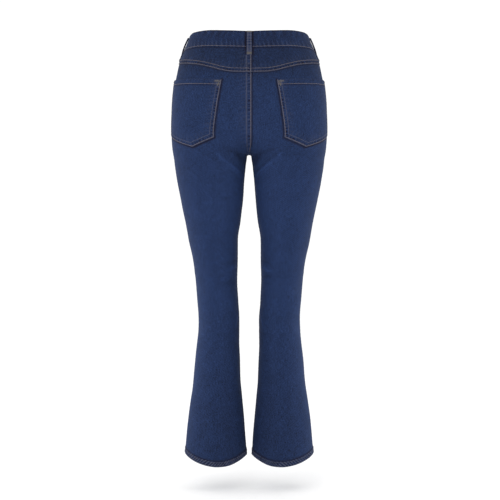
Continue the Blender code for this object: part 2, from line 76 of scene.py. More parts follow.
# The form, as the solids have it: millimetres, one row for each level section. outer, centre and
# inner are distances from the middle, middle is where the section is widest, power its squareness.
SECTION_COLUMNS = ("height", "outer", "centre", "inner", "middle", "back", "front", "power")
SECTIONS = (
    (22, 139.0, 0, -139.0, 0, -84, 88, 2.30),
    (-1, 145.0, 0, -145.0, 0, -88, 91, 2.32),
    (-18, 150.5, 0, -150.5, -3, -92, 94, 2.36),
    (-39, 159.0, 1, -158.0, -7, -99, 97, 2.42),
    (-59, 166.5, 3, -165.0, -11, -107, 99, 2.48),
    (-87, 172.2, 8, -168.0, -16.5, -117, 100, 2.52),
    (-121, 178.2, 18, -154.0, -22.5, -127, 99, 2.56),
    (-169, 182.8, 38, -108.0, -28, -135, 97, 2.60),
    (-217, 184.0, 62, -56.0, -30, -137, 93, 2.58),
    (-241, 184.0, 74, -27.0, -28.6, -133.5, 91.2, 2.54),
    (-253, 183.4, 79, -13.0, -27.4, -130, 90.5, 2.50),
    (-265, 182.3, 83.6, -2.0, -26, -125.8, 89.7, 2.46),
    (-279, 180.6, 88.2, 8.0, -24.3, -120.8, 88.8, 2.415),
    (-281, 180.3, 88.8, 9.2, -24, -120.1, 88.7, 2.408),
    (-289, 179.2, 90.8, 9.9, -22.9, -117.2, 88.2, 2.384),
    (-313, 176.5, 94, 12.1, -19.8, -108.8, 87.2, 2.32),
    (-337, 172.6, 93.2, 14.0, -17, -101, 86.6, 2.28),
    (-385, 163.4, 90, 17.1, -12, -92, 86, 2.20),
    (-433, 153.8, 88, 21.9, -6, -83, 84, 2.14),
    (-481, 145.4, 86, 28.3, 0, -75, 81, 2.08),
    (-529, 134.9, 82, 28.8, 2, -67, 76, 2.04),
    (-577, 128.6, 79, 29.8, 2, -62.5, 69, 2.00),
    (-625, 124.8, 76, 27.7, 0, -62, 62, 1.98),
    (-673, 121.4, 73, 24.9, -4, -64.5, 57, 1.95),
    (-721, 124.2, 74, 25.2, -6, -68, 55, 1.92),
    (-769, 129.7, 76, 23.7, -7, -71, 55, 1.88),
    (-817, 133.9, 77, 21.9, -7, -72, 56, 1.84),
    (-865, 139.8, 78, 17.9, -7, -73, 58, 1.80),
    (-913, 146.3, 79, 14.3, -7, -74, 60, 1.76),
    (-961, 151.0, 80, 11.2, -7, -75, 63, 1.70),
    (-1020, 156.5, 81, 8.9, -7, -77, 66, 1.65),
)
CROTCH = -279 * MM
CROTCH_ROUNDING = 8 * MM
SIDE_SEAM_FORWARD = 10 * MM
CURVE_SAMPLES = 160
TABLE_SHARES = 129
TABLE_LOW, TABLE_HIGH, TABLE_STEP = -1032 * MM, 28 * MM, 4 * MM
NEAR_CROTCH = 30 * MM
MIDDLE_BLEND = 40  # millimetres from the middle in which, above the crotch, both sides' folds are averaged

# Folds and creases of the cloth. side 0 is both legs; each runs from place a to place b, in turns and
# millimetres. A negative depth is a ridge, and bow is how far the crease bends aside halfway.
CREASE_COLUMNS = ("side", "turn_a", "height_a", "turn_b", "height_b", "half_width", "depth", "bow")
FOLDS = (  # the largest, as the solids have them
    (0, 0.47, -281, 0.14, -322, 13, 3.2, 0),
    (0, 0.80, -262, 0.45, -300, 16, 1.6, 0),
    (0, 0.12, -596, 0.62, -566, 12, 2.2, 0),
    (0, 0.35, -632, 0.85, -600, 13, 1.8, 0),
    (0, 1.40, -580, 1.85, -602, 14, 1.6, 0),
    (0, 1.96, -262, 1.45, -226, 13, 2.2, 0),
    (0, 0.30, -850, 0.27, -1010, 20, 2.2, 0),
    (0, 1.62, -830, 1.66, -1010, 20, 2.6, 0),
)
CREASES = (
    (0, 0.42, -262, 0.13, -300, 9, -1.3, 4),
    (0, 0.52, -300, 0.20, -340, 10, 1.0, 5),
    (-1, 0.10, -318, 0.34, -352, 8, 0.8, -4),
    (1, 0.10, -312, 0.30, -360, 9, 0.9, -5),
    (0, 0.70, -300, 0.95, -286, 12, 0.9, 3),
    (-1, 0.62, -340, 0.92, -318, 11, 0.7, 4),
    (1, 0.58, -352, 0.90, -326, 12, 0.8, -3),
    (-1, 0.10, -540, 0.55, -520, 11, 0.9, 5),
    (1, 0.15, -552, 0.60, -528, 10, 0.8, 6),
    (0, 0.30, -612, 0.78, -640, 10, -0.9, 5),
    (-1, 0.08, -640, 0.48, -662, 12, 1.0, -5),
    (1, 0.12, -628, 0.52, -655, 11, 0.9, -6),
    (0, 0.55, -672, 0.92, -705, 13, 0.9, 4),
    (-1, 0.20, -700, 0.60, -742, 14, 0.8, 6),
    (1, 0.18, -712, 0.62, -738, 13, 0.7, 8),
    (0, 1.15, -560, 1.60, -545, 13, 0.9, 5),
    (0, 1.30, -625, 1.80, -648, 13, 1.0, -6),
    (-1, 1.20, -668, 1.70, -700, 14, 0.8, 5),
    (1, 1.25, -676, 1.75, -694, 14, 0.8, 6),
    (0, 1.93, -290, 1.50, -262, 9, 1.2, 4),
    (-1, 1.90, -320, 1.55, -300, 10, 0.8, 5),
    (1, 1.92, -312, 1.60, -286, 9, 0.9, 4),
    (0, 1.70, -190, 1.95, -215, 10, 0.9, 3),
    (0, 0.62, -840, 0.60, -985, 16, 0.9, 5),
    (0, 1.25, -850, 1.28, -990, 17, 1.0, -4),
    (0, 0.92, -860, 0.90, -980, 14, -0.7, 3),
)
PRESSED = (  # pressed in by wear: their ridges have faded, and their hollows are darkened with painted shade
    (0, 0.35, -298, 0.08, -332, 3.0, -1.2, 3),
    (0, 0.33, -309, 0.10, -338, 2.6, -0.6, 3),
    (0, 0.43, -276, 0.37, -299, 3.0, -0.8, 1),
    (0, 0.36, -290, 0.10, -320, 3.4, 0.8, 3),
    (0, 0.28, -276, 0.05, -302, 11, 2.0, 3),
    (0, 0.93, -556, 0.66, -628, 3.4, -1.3, 5),
    (0, 0.90, -566, 0.62, -636, 5, 0.9, 5),
    (-1, 0.04, -528, 0.34, -541, 4.5, 1.1, 3),
    (-1, 0.04, -544, 0.30, -553, 3.5, -0.9, 2),
    (1, 0.04, -531, 0.30, -538, 4.5, 1.0, 3),
    (1, 0.04, -546, 0.36, -560, 4, -0.9, 3),
    (0, 0.06, -640, 0.20, -690, 3.0, -0.8, 2),
    (1, 0.10, -572, 0.42, -566, 6, 0.9, 2),
    (-1, 0.08, -580, 0.45, -590, 6, 0.9, 3),
)
PRESSED_FADE = 1700.0  # fading for each metre that they stand out
PRESSED_SHADE = 700.0  # and painted shade for each metre that they dip
FOLD_TURN = 220 * MM  # about how wide one turn is
FOLD_FADE = 0.15  # share of a half wave that is cut off each end of a fold
UNEVEN_WAVES = 7
UNEVEN_DEPTH = 0.28 * MM
UNEVEN_LENGTHS = (55 * MM, 170 * MM)
UNEVEN_TILT = 0.9

# Where the wash has paled the cloth, and painted light on the inner thighs: amount, turn and reach in
# turns, height and reach in millimetres
FADED_AND_LIT_PATCHES = (
    (0.35, 0.5, 0.45, -190, 70),
    (0.55, 0.55, 0.38, -400, 130),
    (0.5, 0.0, math.inf, -600, 90),
    # painted light on the inner thighs, where the legs shade each other
    (1.3, 0.0, 0.30, -400, 150),
    (0.5, 1.5, 0.35, -330, 160),
)
# and where it changes with height, a painted highlight down the outer calves among them: amount, turn and
# reach, and the heights where it starts and ends
FADED_AND_LIT_SLOPES = (
    # painted highlight down the outer side of the calves and flares
    (1.0, 0.95, 0.28, -560, -710),
    # darker towards the hems
    (-0.45, 0.0, math.inf, -760, -920),
    # darker towards the waist
    (-1.0, 0.0, math.inf, -130, -70),
)

# Waistband
BAND_HEIGHT = 41 * MM
BAND_THICKNESS = 2.6 * MM
BAND_PROUD = 0.8 * MM
BAND_TOP = (  # turn and height
    (0, 5.5),
    (0.3, 8.5),
    (0.55, 11.0),
    (0.72, 10.5),
    (0.88, 4.5),
    (1, -1.0),
    (1.5, -11.0),
    (2, -16.0),
)
BAND_LAP_OVER = 12 * MM
BAND_LAP_UNDER = 24 * MM
BAND_LAP_RAMP = 26 * MM
BAND_STITCH = 2.6 * MM  # from its edge to its row of stitches
BAND_COLUMNS, BAND_ROWS = 620, 26
BAND_FADE = -0.6

# Yokes and panels
YOKE_SEAM = ((0, -95), (0.16, -94), (0.26, -90.5), (0.39, -82), (0.51, -75), (0.75, -67), (1, -62))
YOKE_STRIP = 10 * MM  # width of the sewn strip along its lower edge
YOKE_ROWS = 34
PANEL_COLUMNS, PANEL_ROWS_ABOVE, PANEL_ROWS_BELOW = 118, 104, 256
SIDE_STRIP = 9 * MM  # width of the allowance that shows beside a side seam or an inseam
SIDE_RIDGE = {"back": 1.0, "front": 0.25}  # how much of it shows
SEAM_LAP = 5.4 * MM  # the left side's folded edge runs this far past the centre
SEAM_STRIP = 8 * MM  # and its allowance shows as a strip this wide on the left
LAP_FADE = 22 * MM  # the lap narrows to nothing over this height above the crotch
TUCK = 2.2 * MM  # how far a lower layer runs on under the upper one
SIDES = (("left", -1), ("right", 1))
PARTS = ("back", "front")
CENTRE_SEEDS = {"back": 11, "front": 12}

# Hems
HEM_DEPTH = 13 * MM
HEM_SIDE = -996 * MM
HEM_TILT = 0.285
HEM_INNER_RISE = 0.026
HEM_RISES = ((8.5, 0.95, 0.33), (-2.6, 0.31, 0.13))  # millimetres, turn and reach in turns
HEM_ROPE_PITCH = 7 * MM

# Front pockets
SCOOP_TURNS = 0.46
SCOOP_DROP = 82 * MM
SCOOP_POWER = 2.4
FACING_REACH = 0.09
FACING_TUCK = 18 * MM
FACING_DEPTH = 3.0 * MM
FACING_COLUMNS, FACING_ROWS = 50, 50

# Back pockets
POCKET_TURN = 250 * MM  # about how wide one turn is at the pockets
POCKET_CORNERS = (  # turn and height: top inner, top outer, bottom outer, point, bottom inner
    (0.26, -113),
    (0.90, -104),
    (0.87, -236),
    (0.545, -267),
    (0.32, -246),
)
POCKET_OUTLINE = np.array(POCKET_CORNERS) * (POCKET_TURN, MM)
POCKET_STRIP = 10 * MM
POCKET_GAPE = 1.6 * MM
POCKET_GAPE_POWER = 4
POCKET_HEM = 12.5 * MM
POCKET_HEM_STITCH = 11.5  # millimetres below the top edge
POCKET_COLUMNS, POCKET_ROWS = 96, 130

# Belt loops
LOOP_WIDTH = 13 * MM
LOOP_LENGTH = 59 * MM
LOOP_THICKNESS = 1.6 * MM
LOOP_LIFT = 2.1 * MM  # of its outside where it is sewn down
LOOP_SLACK = 2.5 * MM
LOOP_FULLNESS = 0.7
LOOP_SHADE = 3.2  # millimetres beside a loop in which the cloth is darkened with painted shadow
LOOP_STITCH = 2.6 * MM
LOOP_COLUMNS, LOOP_ROWS = 12, 54
SIDE_LOOP = 0.93
LOOPS = (
    ("centre_back", 1, 0.0),
    ("side_left", -1, SIDE_LOOP),
    ("side_right", 1, SIDE_LOOP),
    ("front_left", -1, 1.5),
    ("front_right", 1, 1.5),
)

# Fly
FLY_WIDTH = 36 * MM
FLY_LAP = 12 * MM
FLY_LENGTH = 135 * MM
FLY_CURVE = 40 * MM
FLY_NARROWING = 0.8
FLY_CLEARANCE = 0.45 * MM
FLY_COLUMNS, FLY_ROWS = 36, 90

# Button: radius and height of its profile, in shares of its radius
BUTTON_PROFILE = (
    (0.00, 0.00),
    (0.45, 0.00),
    (0.45, 0.10),
    (0.86, 0.10),
    (0.96, 0.13),
    (1.00, 0.21),
    (0.98, 0.30),
    (0.93, 0.35),
    (0.86, 0.36),
    (0.80, 0.33),
    (0.74, 0.295),
    (0.66, 0.29),
    (0.60, 0.31),
    (0.52, 0.325),
    (0.48, 0.31),
    (0.44, 0.325),
    (0.30, 0.355),
    (0.15, 0.37),
    (0.00, 0.375),
)
BUTTON_SEGMENTS = 96
BUTTON_LIFT = BAND_PROUD + 0.3 * MM
BUTTONHOLE_LENGTH = 20 * MM
BUTTONHOLE_GAP = 1.6 * MM  # half the distance between its two sides
BUTTONHOLE_STITCH = 2.6 * MM
BUTTONHOLE_SPACING = 0.55 * MM
BUTTONHOLE_FAN = 12

# Stitches: place along a stitch, girth and lift, in shares of its length and width
STITCH_RINGS = ((-0.92, 0.55, 0.00), (-0.45, 1.0, 0.30), (0.45, 1.0, 0.30), (0.92, 0.55, 0.00))
STITCH_SIDES = 5
STITCH_FLATNESS = 0.8  # a stitch's height by its width
STITCH_FILL = 0.84  # share of the stitch length that lies on top of the cloth
SMALL_STITCHES = {"sunk row": (3.2 * MM, 0.55 * MM), "bar tack": (3.0 * MM, 0.5 * MM)}
PATH_STEP = 1.0 * MM
THREAD_LIFT = 0.18 * MM
SEAM_ROW = 2.2 * MM  # from the edges of the centre seam's strip to its rows
ROW_END = 1.5 * MM  # from a pocket's top edge to the ends of its rows
SCOOP_START = 1.004  # turn where the rows below a scoop start
TACK_SPACING = 0.42 * MM
TACK_HALF = 1.5 * MM  # half the length of its stitches
LOOP_TACKS = (0.05, 0.905, 0.955)  # shares of a loop's length
POCKET_TACKS = (  # turn, height, slope and length, in millimetres
    (0.297, -117.0, 0.05, 13),
    (0.287, -124.0, -4.0, 9),
    (0.872, -108.5, 0.05, 11),
)

# Scales of the materials' patterns. The denim's are coarser than the real ones, which are too
# fine to show in a whole view.
WARP_WIDTH = 2.0 * MM  # a slub's streak, three times as wide as it is
WARP_LENGTH = 10 * MM
WEFT_LENGTH = 11 * MM
TWILL_PITCH = 1.8 * MM  # three times the real pitch
TWILL_SLANT = math.radians(-62)
MOTTLE = 22 * MM  # patches that the wash has left, in their real size
SPECKLE = 2.7 * MM
FADE_GAIN = 0.30  # how much paler the cloth is where its fade is one
THREAD_GRAIN = 700.0  # waves to the metre
BRASS_GRAIN = 420.0

# Stage
FLOOR_SIDES = 96
FLOOR_RADIUS = 9
FLOOR_DROP = 60 * MM  # below the lowest point of the hems
SURROUND_STRENGTH = 1.06
AIM = (0, 0, -0.5)  # where the soft boxes point
SOFTBOXES = (  # name, place, size and power
    ("softbox_key", (-1.2, -3.2, 1.6), 2.0, 28),
    ("softbox_left", (-2.6, 0.2, -0.7), 1.6, 26),
    ("softbox_right", (2.6, 0.2, -0.7), 1.6, 26),
)


def srgb(colour):
    """The linear colour of an sRGB hex value such as 2a3a5c."""
    parts = np.array([int(colour[i : i + 2], 16) for i in (0, 2, 4)]) / 255
    linear = np.where(parts <= 0.04045, parts / 12.92, ((parts + 0.055) / 1.055) ** 2.4)
    return (*linear.tolist(), 1.0)


# ---------------------------------------------------------------------------------------- settings


def metres(name, description, default, low, high):
    """A setting that is a length, in metres."""
    return bpy.props.FloatProperty(
        name=name, description=description, default=default, min=low, max=high, unit="LENGTH"
    )


def shade(name, description, default):
    """A setting that is a colour, its default an sRGB hex value."""
    return bpy.props.FloatVectorProperty(
        name=name, description=description, default=srgb(default), size=4, subtype="COLOR"
    )


class JeansCloth(bpy.types.PropertyGroup):
    """The denim and how it is pressed, folded and worn."""

    thickness: metres("Thickness", "One layer of denim", 1.2 * MM, 0.5 * MM, 3 * MM)
    pucker: metres("Pucker", "Depth of the dips that the thread draws into a seam", 0.8 * MM, 0, 2 * MM)
    pucker_pitch: metres("Pucker pitch", "From one dip to the next along a seam", 6.6 * MM, 3 * MM, 20 * MM)
    face: shade("Face", "Indigo warp on the outside", "192848")
    # the dips' colour: new indigo in pucker dips, and painted shade in seam grooves and beside and under
    # raised edges
    dark: shade("Dips", "The dips, where the indigo never wore off", "110f20")
    worn: shade("Worn", "The ridges that washing has worn pale", "494b5b")
    reverse: shade("Reverse", "The inside, where the pale weft shows", "76829a")


class JeansThread(bpy.types.PropertyGroup):
    """The topstitching."""

    pitch: metres("Stitch length", "From one needle hole to the next", 3.2 * MM, 1.5 * MM, 6 * MM)
    width: metres("Thread width", "Width of the thread as it lies on the cloth", 0.7 * MM, 0.3 * MM, 2 * MM)
    topstitch: shade("Thread", "Washed tan polyester topstitching thread", "786c66")
    sunk: shade("Sunk thread", "Rows that have sunk in and taken on the cloth's indigo", "4c4d5c")
    tack: shade("Bar tacks", "Thread of the bar tacks and the buttonhole", "54504b")


class JeansButton(bpy.types.PropertyGroup):
    """The waistband's shank button."""

    radius: metres("Radius", "From the middle of the button to its rim", 8.5 * MM, 5 * MM, 15 * MM)
    brass: shade("Brass", "Aged brass", "a98457")


class JeansStage(bpy.types.PropertyGroup):
    """Camera, lights and floor."""

    distance: metres("Camera distance", "From the camera to the middle of the jeans", 3.0, 0.5, 20)
    aside: metres("Camera aside", "How far the camera stands to the wearer's right", 1.8 * MM, -2, 2)
    height: metres("Camera height", "Height of the camera above the waist", -0.505, -3, 3)
    lens: bpy.props.FloatProperty(
        name="Lens", description="Focal length in millimetres", default=90, min=10, max=300
    )
    floor: shade("Floor", "Matt paint of the floor", "fdfdfd")


# --------------------------------------------------------------------------------------- the form


def smooth(x):
    """0 up to x = 0, 1 from x = 1 on and an S between them: 3x² - 2x³."""
    x = np.clip(x, 0, 1)
    return x * x * (3 - 2 * x)


def bell(x):
    """A bump one high, down to 0.37 at x = 1: exp(-x²)."""
    return np.exp(-(x**2))


def near(distance, at, reach):
    """A bell round a distance, its place and its reach in millimetres."""
    return bell((distance / MM - at) / reach)


def within(distance, width, ramp):
    """1 up to a width, and down to 0 over a ramp beyond it, the ramp in millimetres."""
    return 1 - smooth((distance - width) / (ramp * MM))


def unit(ways):
    """Vectors with their lengths set to 1."""
    return ways / np.linalg.norm(ways, axis=-1, keepdims=True)


def turned(ways):
    """Vectors in the flat, turned right by a quarter."""
    return np.stack((ways[..., 1], -ways[..., 0]), -1)


def run_along(points):
    """Length along a path up to each of its points."""
    return np.concatenate(([0], np.cumsum(np.linalg.norm(np.diff(points, axis=0), axis=-1))))


def eased(stations, values, at):
    """A cubic through the stations that never swings past its neighbours: each slope is the
    weighted harmonic mean of the two beside it, and level where the values turn back."""
    step = np.diff(stations)
    rise = np.diff(values) / step
    before, after = rise[:-1], rise[1:]
    heavy, light = 2 * step[1:] + step[:-1], step[1:] + 2 * step[:-1]
    same_way = before * after > 0
    safe_before = np.where(same_way, before, 1)
    safe_after = np.where(same_way, after, 1)
    mean = (heavy + light) / (heavy / safe_before + light / safe_after)
    slope = np.concatenate(([rise[0]], np.where(same_way, mean, 0), [rise[-1]]))
    place = np.searchsorted(stations, at).clip(1, len(stations) - 1) - 1
    share = ((at - stations[place]) / step[place]).clip(0, 1)
    leave, arrive = slope[place] * step[place], slope[place + 1] * step[place]
    start = (values[place] * (1 + 2 * share) + leave * share) * (1 - share) ** 2
    end = (values[place + 1] * (3 - 2 * share) + arrive * (share - 1)) * share**2
    return start + end


def from_table(rows, turn):
    """Height at each turn, from a table of turns and heights in millimetres."""
    turns, heights = np.array(rows, float).T
    return eased(turns, heights, np.asarray(turn, float)) * MM


def section(height):
    """The section at each height, in metres: centre line, half widths towards and away from the
    middle, where it is widest, its reach back and forward, its power and its first angle."""
    table = np.array(SECTIONS, float)[::-1].T
    columns = {name: eased(table[0], column, height / MM) for name, column in zip(SECTION_COLUMNS, table)}
    power = columns.pop("power")
    form = {name: column * MM for name, column in columns.items()}
    form["inner"] = form["centre"] - form["inner"]
    form["outer"] = form["outer"] - form["centre"]
    form["back"] = form["back"] - form["middle"]
    form["front"] = form["front"] - form["middle"]
    to_middle = form["centre"] - CROTCH_ROUNDING
    cosine = (to_middle / np.where(to_middle > 0, form["inner"], form["outer"])).clip(-1, 1)
    start = np.arccos(np.sign(cosine) * np.abs(cosine) ** (power / 2))
    return {**form, "power": power, "start": start}


def on_section(angle, form):
    """The point at an angle round a leg's tube: a superellipse whose two halves have half widths
    of their own, its distance from the middle rounded as the long side of a right triangle."""
    cosine, sine = np.cos(angle), np.sin(angle)
    across = np.abs(cosine) ** (2 / form["power"])
    along = np.abs(sine) ** (2 / form["power"])
    aside = np.where(cosine > 0, -form["inner"], form["outer"]) * across
    x = np.sqrt(np.maximum((form["centre"] + aside) ** 2 - CROTCH_ROUNDING**2, 0))
    y = form["middle"] + np.where(sine >= 0, form["back"], form["front"]) * along
    return x, y


@functools.cache
def form_table():
    """By height: the side seam's angle, the lengths run from the middle back to the side seam and
    from it to the middle front, and for even shares of each run the share of its angle."""
    even = np.arange(TABLE_LOW, TABLE_HIGH, TABLE_STEP)
    close = CROTCH + np.linspace(-1, 1, 161) ** 3 * NEAR_CROTCH
    heights = np.unique(np.concatenate((even, close)))
    form = {name: value[:, None] for name, value in section(heights).items()}
    start = form["start"]
    back = start + (math.pi - start) * np.linspace(0, 1, CURVE_SAMPLES) ** 2
    angle = np.concatenate((back, 2 * math.pi - back[:, -2::-1]), axis=1)
    x, y = on_section(angle, form)
    run = np.cumsum(np.hypot(np.diff(x), np.diff(y)), axis=1)
    run = np.concatenate((np.zeros_like(run[:, :1]), run), axis=1)
    back_run = run[:, CURVE_SAMPLES - 1] + SIDE_SEAM_FORWARD
    front_run = run[:, -1] - back_run
    share = np.linspace(0, 1, TABLE_SHARES)
    rows = list(zip(back_run, front_run, run, angle))
    side = np.array([np.interp(b, r, a) for b, _, r, a in rows])
    backs = np.array([np.interp(share * b, r, a) for b, _, r, a in rows])
    fronts = np.array([np.interp(b + share * f, r, a) for b, f, r, a in rows])
    back_share = (backs - start) / (side[:, None] - start)
    front_share = (fronts - side[:, None]) / (2 * math.pi - start - side[:, None])
    return heights, side, back_run, front_run, back_share, front_share


def runs(height):
    """Lengths along the cloth from the middle back to the side seam, and on to the middle front."""
    heights, _, back_run, front_run, _, _ = form_table()
    return np.interp(height, heights, back_run), np.interp(height, heights, front_run)


def looked_up(table, row, share):
    """Values between the rows and columns of a table, by straight lines both ways."""
    column = share.clip(0, 1) * (table.shape[1] - 1)
    r0 = np.floor(row).astype(int).clip(0, table.shape[0] - 2)
    c0 = np.floor(column).astype(int).clip(0, table.shape[1] - 2)
    r, c = row - r0, column - c0
    low = table[r0, c0] * (1 - c) + table[r0, c0 + 1] * c
    high = table[r0 + 1, c0] * (1 - c) + table[r0 + 1, c0 + 1] * c
    return low * (1 - r) + high * r


def angle_at(turn, height, form):
    """The angle round a section at each turn from 0 to 2, by the shares of the form's table."""
    heights, side_angle, _, _, back_share, front_share = form_table()
    row = np.interp(height, heights, np.arange(len(heights)))
    at_side = np.interp(height, heights, side_angle)
    start = form["start"]
    back = start + looked_up(back_share, row, turn) * (at_side - start)
    front = at_side + looked_up(front_share, row, turn - 1) * (2 * math.pi - start - at_side)
    return np.where(turn <= 1, back, front)


def level(x, y, height):
    """Below one inside the form, one on it and above one outside."""
    form = section(height)
    aside = np.hypot(x, CROTCH_ROUNDING) - form["centre"]
    across = aside / np.where(aside < 0, form["inner"], form["outer"])
    depth = y - form["middle"]
    along = depth / np.where(depth < 0, -form["back"], form["front"])
    return np.abs(across) ** form["power"] + np.abs(along) ** form["power"]


def outward(x, y, height):
    """The direction in which the form's level rises fastest."""
    nudge = 0.5 * MM
    slopes = (
        level(x + nudge, y, height) - level(np.abs(x - nudge), y, height),
        level(x, y + nudge, height) - level(x, y - nudge, height),
        level(x, y, height + nudge) - level(x, y, height - nudge),
    )
    return unit(np.stack(slopes, -1))


def drawn_in(rows, side, turn, height):
    """Depth of the creases of a table: for each its depth times a bell across it and a half wave
    along it."""
    place = np.stack((turn * FOLD_TURN, height), -1)
    depth = np.zeros(turn.shape)
    for row in rows:
        fold = dict(zip(CREASE_COLUMNS, row))
        if fold["side"] * side < 0:
            continue
        a = np.array((fold["turn_a"] * FOLD_TURN, fold["height_a"] * MM))
        b = np.array((fold["turn_b"] * FOLD_TURN, fold["height_b"] * MM))
        share = ((place - a) @ (b - a) / ((b - a) @ (b - a))).clip(0, 1)
        bow = (4 * share * (1 - share))[..., None] * fold["bow"] * MM * unit(turned(a - b))
        off = np.linalg.norm(place - (a + share[..., None] * (b - a) + bow), axis=-1)
        along = np.sin(math.pi * (FOLD_FADE + (1 - 2 * FOLD_FADE) * share))
        depth += fold["depth"] * MM * near(off, 0, fold["half_width"]) * along
    return depth


def wrinkles(side, turn, height):
    """How far the cloth is drawn in by folds and creases and by a slow unevenness, which is a few
    sines of seeded direction and length."""
    rng = np.random.default_rng(5 + side)
    total = np.zeros(turn.shape)
    for _ in range(UNEVEN_WAVES):
        length = rng.uniform(*UNEVEN_LENGTHS)
        tilt = rng.uniform(-UNEVEN_TILT, UNEVEN_TILT)
        phase = rng.uniform(0, 2 * math.pi)
        way = turn * FOLD_TURN * math.sin(tilt) + height * math.cos(tilt)
        total += np.sin(2 * math.pi * way / length + phase)
    uneven = UNEVEN_DEPTH * total / math.sqrt(UNEVEN_WAVES)
    return drawn_in(FOLDS + CREASES + PRESSED, side, turn, height) + uneven


def on_form(side, turn, height):
    """The cloth's outside at each place and the way that it faces. A turn below 0 or above 2 runs
    on over the other side."""
    turn, height = np.broadcast_arrays(np.asarray(turn, float), np.asarray(height, float))
    flip = side * np.where((turn < 0) | (turn > 2), -1.0, 1.0)
    turn = np.where(turn > 2, 4 - turn, np.abs(turn))
    form = section(height)
    x, y = on_section(angle_at(turn, height, form), form)
    facing = outward(x, y, height)
    left_depth, right_depth = (wrinkles(one, turn, height) for one in (-1, 1))
    own = np.where(flip > 0, right_depth, left_depth)
    shared = (height > CROTCH) * within(x, 0, MIDDLE_BLEND)
    own = own + shared * ((left_depth + right_depth) / 2 - own)
    point = np.stack((x, y, height), -1) - facing * own[..., None]
    mirror = np.stack((flip, np.ones_like(flip), np.ones_like(flip)), -1)
    return point * mirror, facing * mirror


# ---------------------------------------------------------------------- edges and seams in heights


def band_top(turn):
    """Height of the waistband's top edge."""
    return from_table(BAND_TOP, 2 - np.abs(2 - np.abs(turn)))


def band_middle(turn):
    """Height halfway down the waistband, at one turn."""
    return float(band_top(turn)) - BAND_HEIGHT / 2


def band_bottom(turn):
    """Height of the waistband's bottom edge."""
    return band_top(turn) - BAND_HEIGHT


def yoke_seam(turn):
    """Height of the seam below the yoke."""
    return from_table(YOKE_SEAM, np.minimum(np.abs(turn), 1))


def scoop(turn):
    """Height of a front panel's top edge: the waistband's bottom edge, and from the start of the
    pocket a quarter of a rounded square down to the side seam."""
    into = ((turn - 1) / SCOOP_TURNS).clip(0, 1)
    drop = (1 - into**SCOOP_POWER) ** (1 / SCOOP_POWER)
    return band_bottom(turn) - SCOOP_DROP * drop


def pocket_top(turn):
    """Height of a back pocket's straight top edge."""
    (x0, z0), (x1, z1) = POCKET_OUTLINE[:2]
    return z0 + (turn * POCKET_TURN - x0) * (z1 - z0) / (x1 - x0)


def hem(turn):
    """Height of the hem's edge: a tilted plane, low at the back, and a bell for each of its rises."""
    place = np.abs(np.asarray(turn, float))
    height = np.full(place.shape, HEM_SIDE)
    form = section(height)
    x, y = on_section(angle_at(place, height, form), form)
    inner = (x - form["centre"] - form["outer"]) * HEM_INNER_RISE
    rise = sum(amount * MM * bell((place - at) / reach) for amount, at, reach in HEM_RISES)
    return HEM_SIDE + (y - form["middle"]) * HEM_TILT - inner + rise


def lap(height):
    """How far the left side laps over the right at the centre seams."""
    return SEAM_LAP * smooth((height - CROTCH) / LAP_FADE)


# ------------------------------------------------------------------------------ relief of the cloth


def pucker_wave(along, seed):
    """0 to 1 along a seam, unevenly: a sine whose phase and strength wander with slower sines."""
    cloth = bpy.context.scene.jeans_cloth
    rng = np.random.default_rng(seed)
    wander = np.zeros(np.shape(along))
    strength = np.zeros(np.shape(along))
    for _ in range(4):
        length = rng.uniform(18, 60) * MM
        wander += 0.8 * np.sin(2 * math.pi * along / length + rng.uniform(0, 6))
        strength += 0.15 * np.sin(2 * math.pi * along / length / 1.7 + rng.uniform(0, 6))
    wave = 0.5 + 0.5 * np.sin(2 * math.pi * along / cloth.pucker_pitch + wander)
    return wave * (0.75 + strength).clip(0.2, 1)


def ripple(along, seed):
    """The pucker wave about its middle, from -0.5 to 0.5."""
    return pucker_wave(along, seed) - 0.5


def edge_round(distance, radius):
    """How far a folded edge drops by its roundness: a quarter circle of that radius."""
    inside = (distance / radius).clip(0, 1)
    return radius * (1 - np.sqrt(1 - (1 - inside) ** 2))


def sewn(distance, along, width, seed):
    """Relief and wear of a seam's strip, by the distance from its edge: dark dips between its two rows of
    stitches, the rows pressed in and soft ripples beside it. Rows and ridges are worn pale; the dips and
    the ripples' dips are darkened partly as new indigo and partly as painted shade."""
    wave = pucker_wave(along, seed)
    share = distance / width
    between = bell((share - 0.43) / 0.19)
    rows = bell((distance - 0.17 * width) / (0.9 * MM)) + bell((distance - 0.9 * width) / MM)
    beside = bell((share - 1.5) / 0.8) * ripple(along * 0.8 + 0.2 * distance, seed + 50)
    dips = bpy.context.scene.jeans_cloth.pucker * between * wave
    lift = -dips - 0.25 * MM * rows - 0.3 * MM * beside
    # pale worn rows and ridges; dark dips, partly painted shade
    wear_and_shade = 0.3 * rows - between * (1.7 * wave - 0.35) - 0.25 * beside
    return lift, wear_and_shade


def groove(distance):
    """The dip where two pieces meet in a plain seam: a narrow bell in a wider, shallower one."""
    return -0.9 * MM * near(distance, 0, 1.1) - 0.35 * MM * near(distance, 0, 4)


def centre_seam(side, distance, height, seed):
    """Relief and wear beside the centre back or front seam, the left side lapped over the right, and
    painted shadow on the right side beside the lapped edge.
    """
    if side < 0:
        edge = distance + lap(height)
        strip = within(distance, SEAM_STRIP, 2.5)
        lift, wear_and_shade = sewn(edge, height, SEAM_LAP + SEAM_STRIP, seed)
        lift = lift + 1.0 * MM * strip - edge_round(edge, 0.8 * MM)
        wear_and_shade = wear_and_shade + 0.5 * near(edge, 0, 1.2) + 0.12 * strip
    else:
        edge = distance - lap(height)
        soft = 0.25 * near(edge, 9, 8) * ripple(height * 0.9, seed + 50)
        lift = -0.35 * MM * near(edge, 0, 4) - MM * soft
        # painted shadow on the right side, beside the left side's lapped edge
        wear_and_shade = -1.0 * near(edge, 0, 2.6)
    above = lap(height) / SEAM_LAP
    return lift * above, wear_and_shade * above


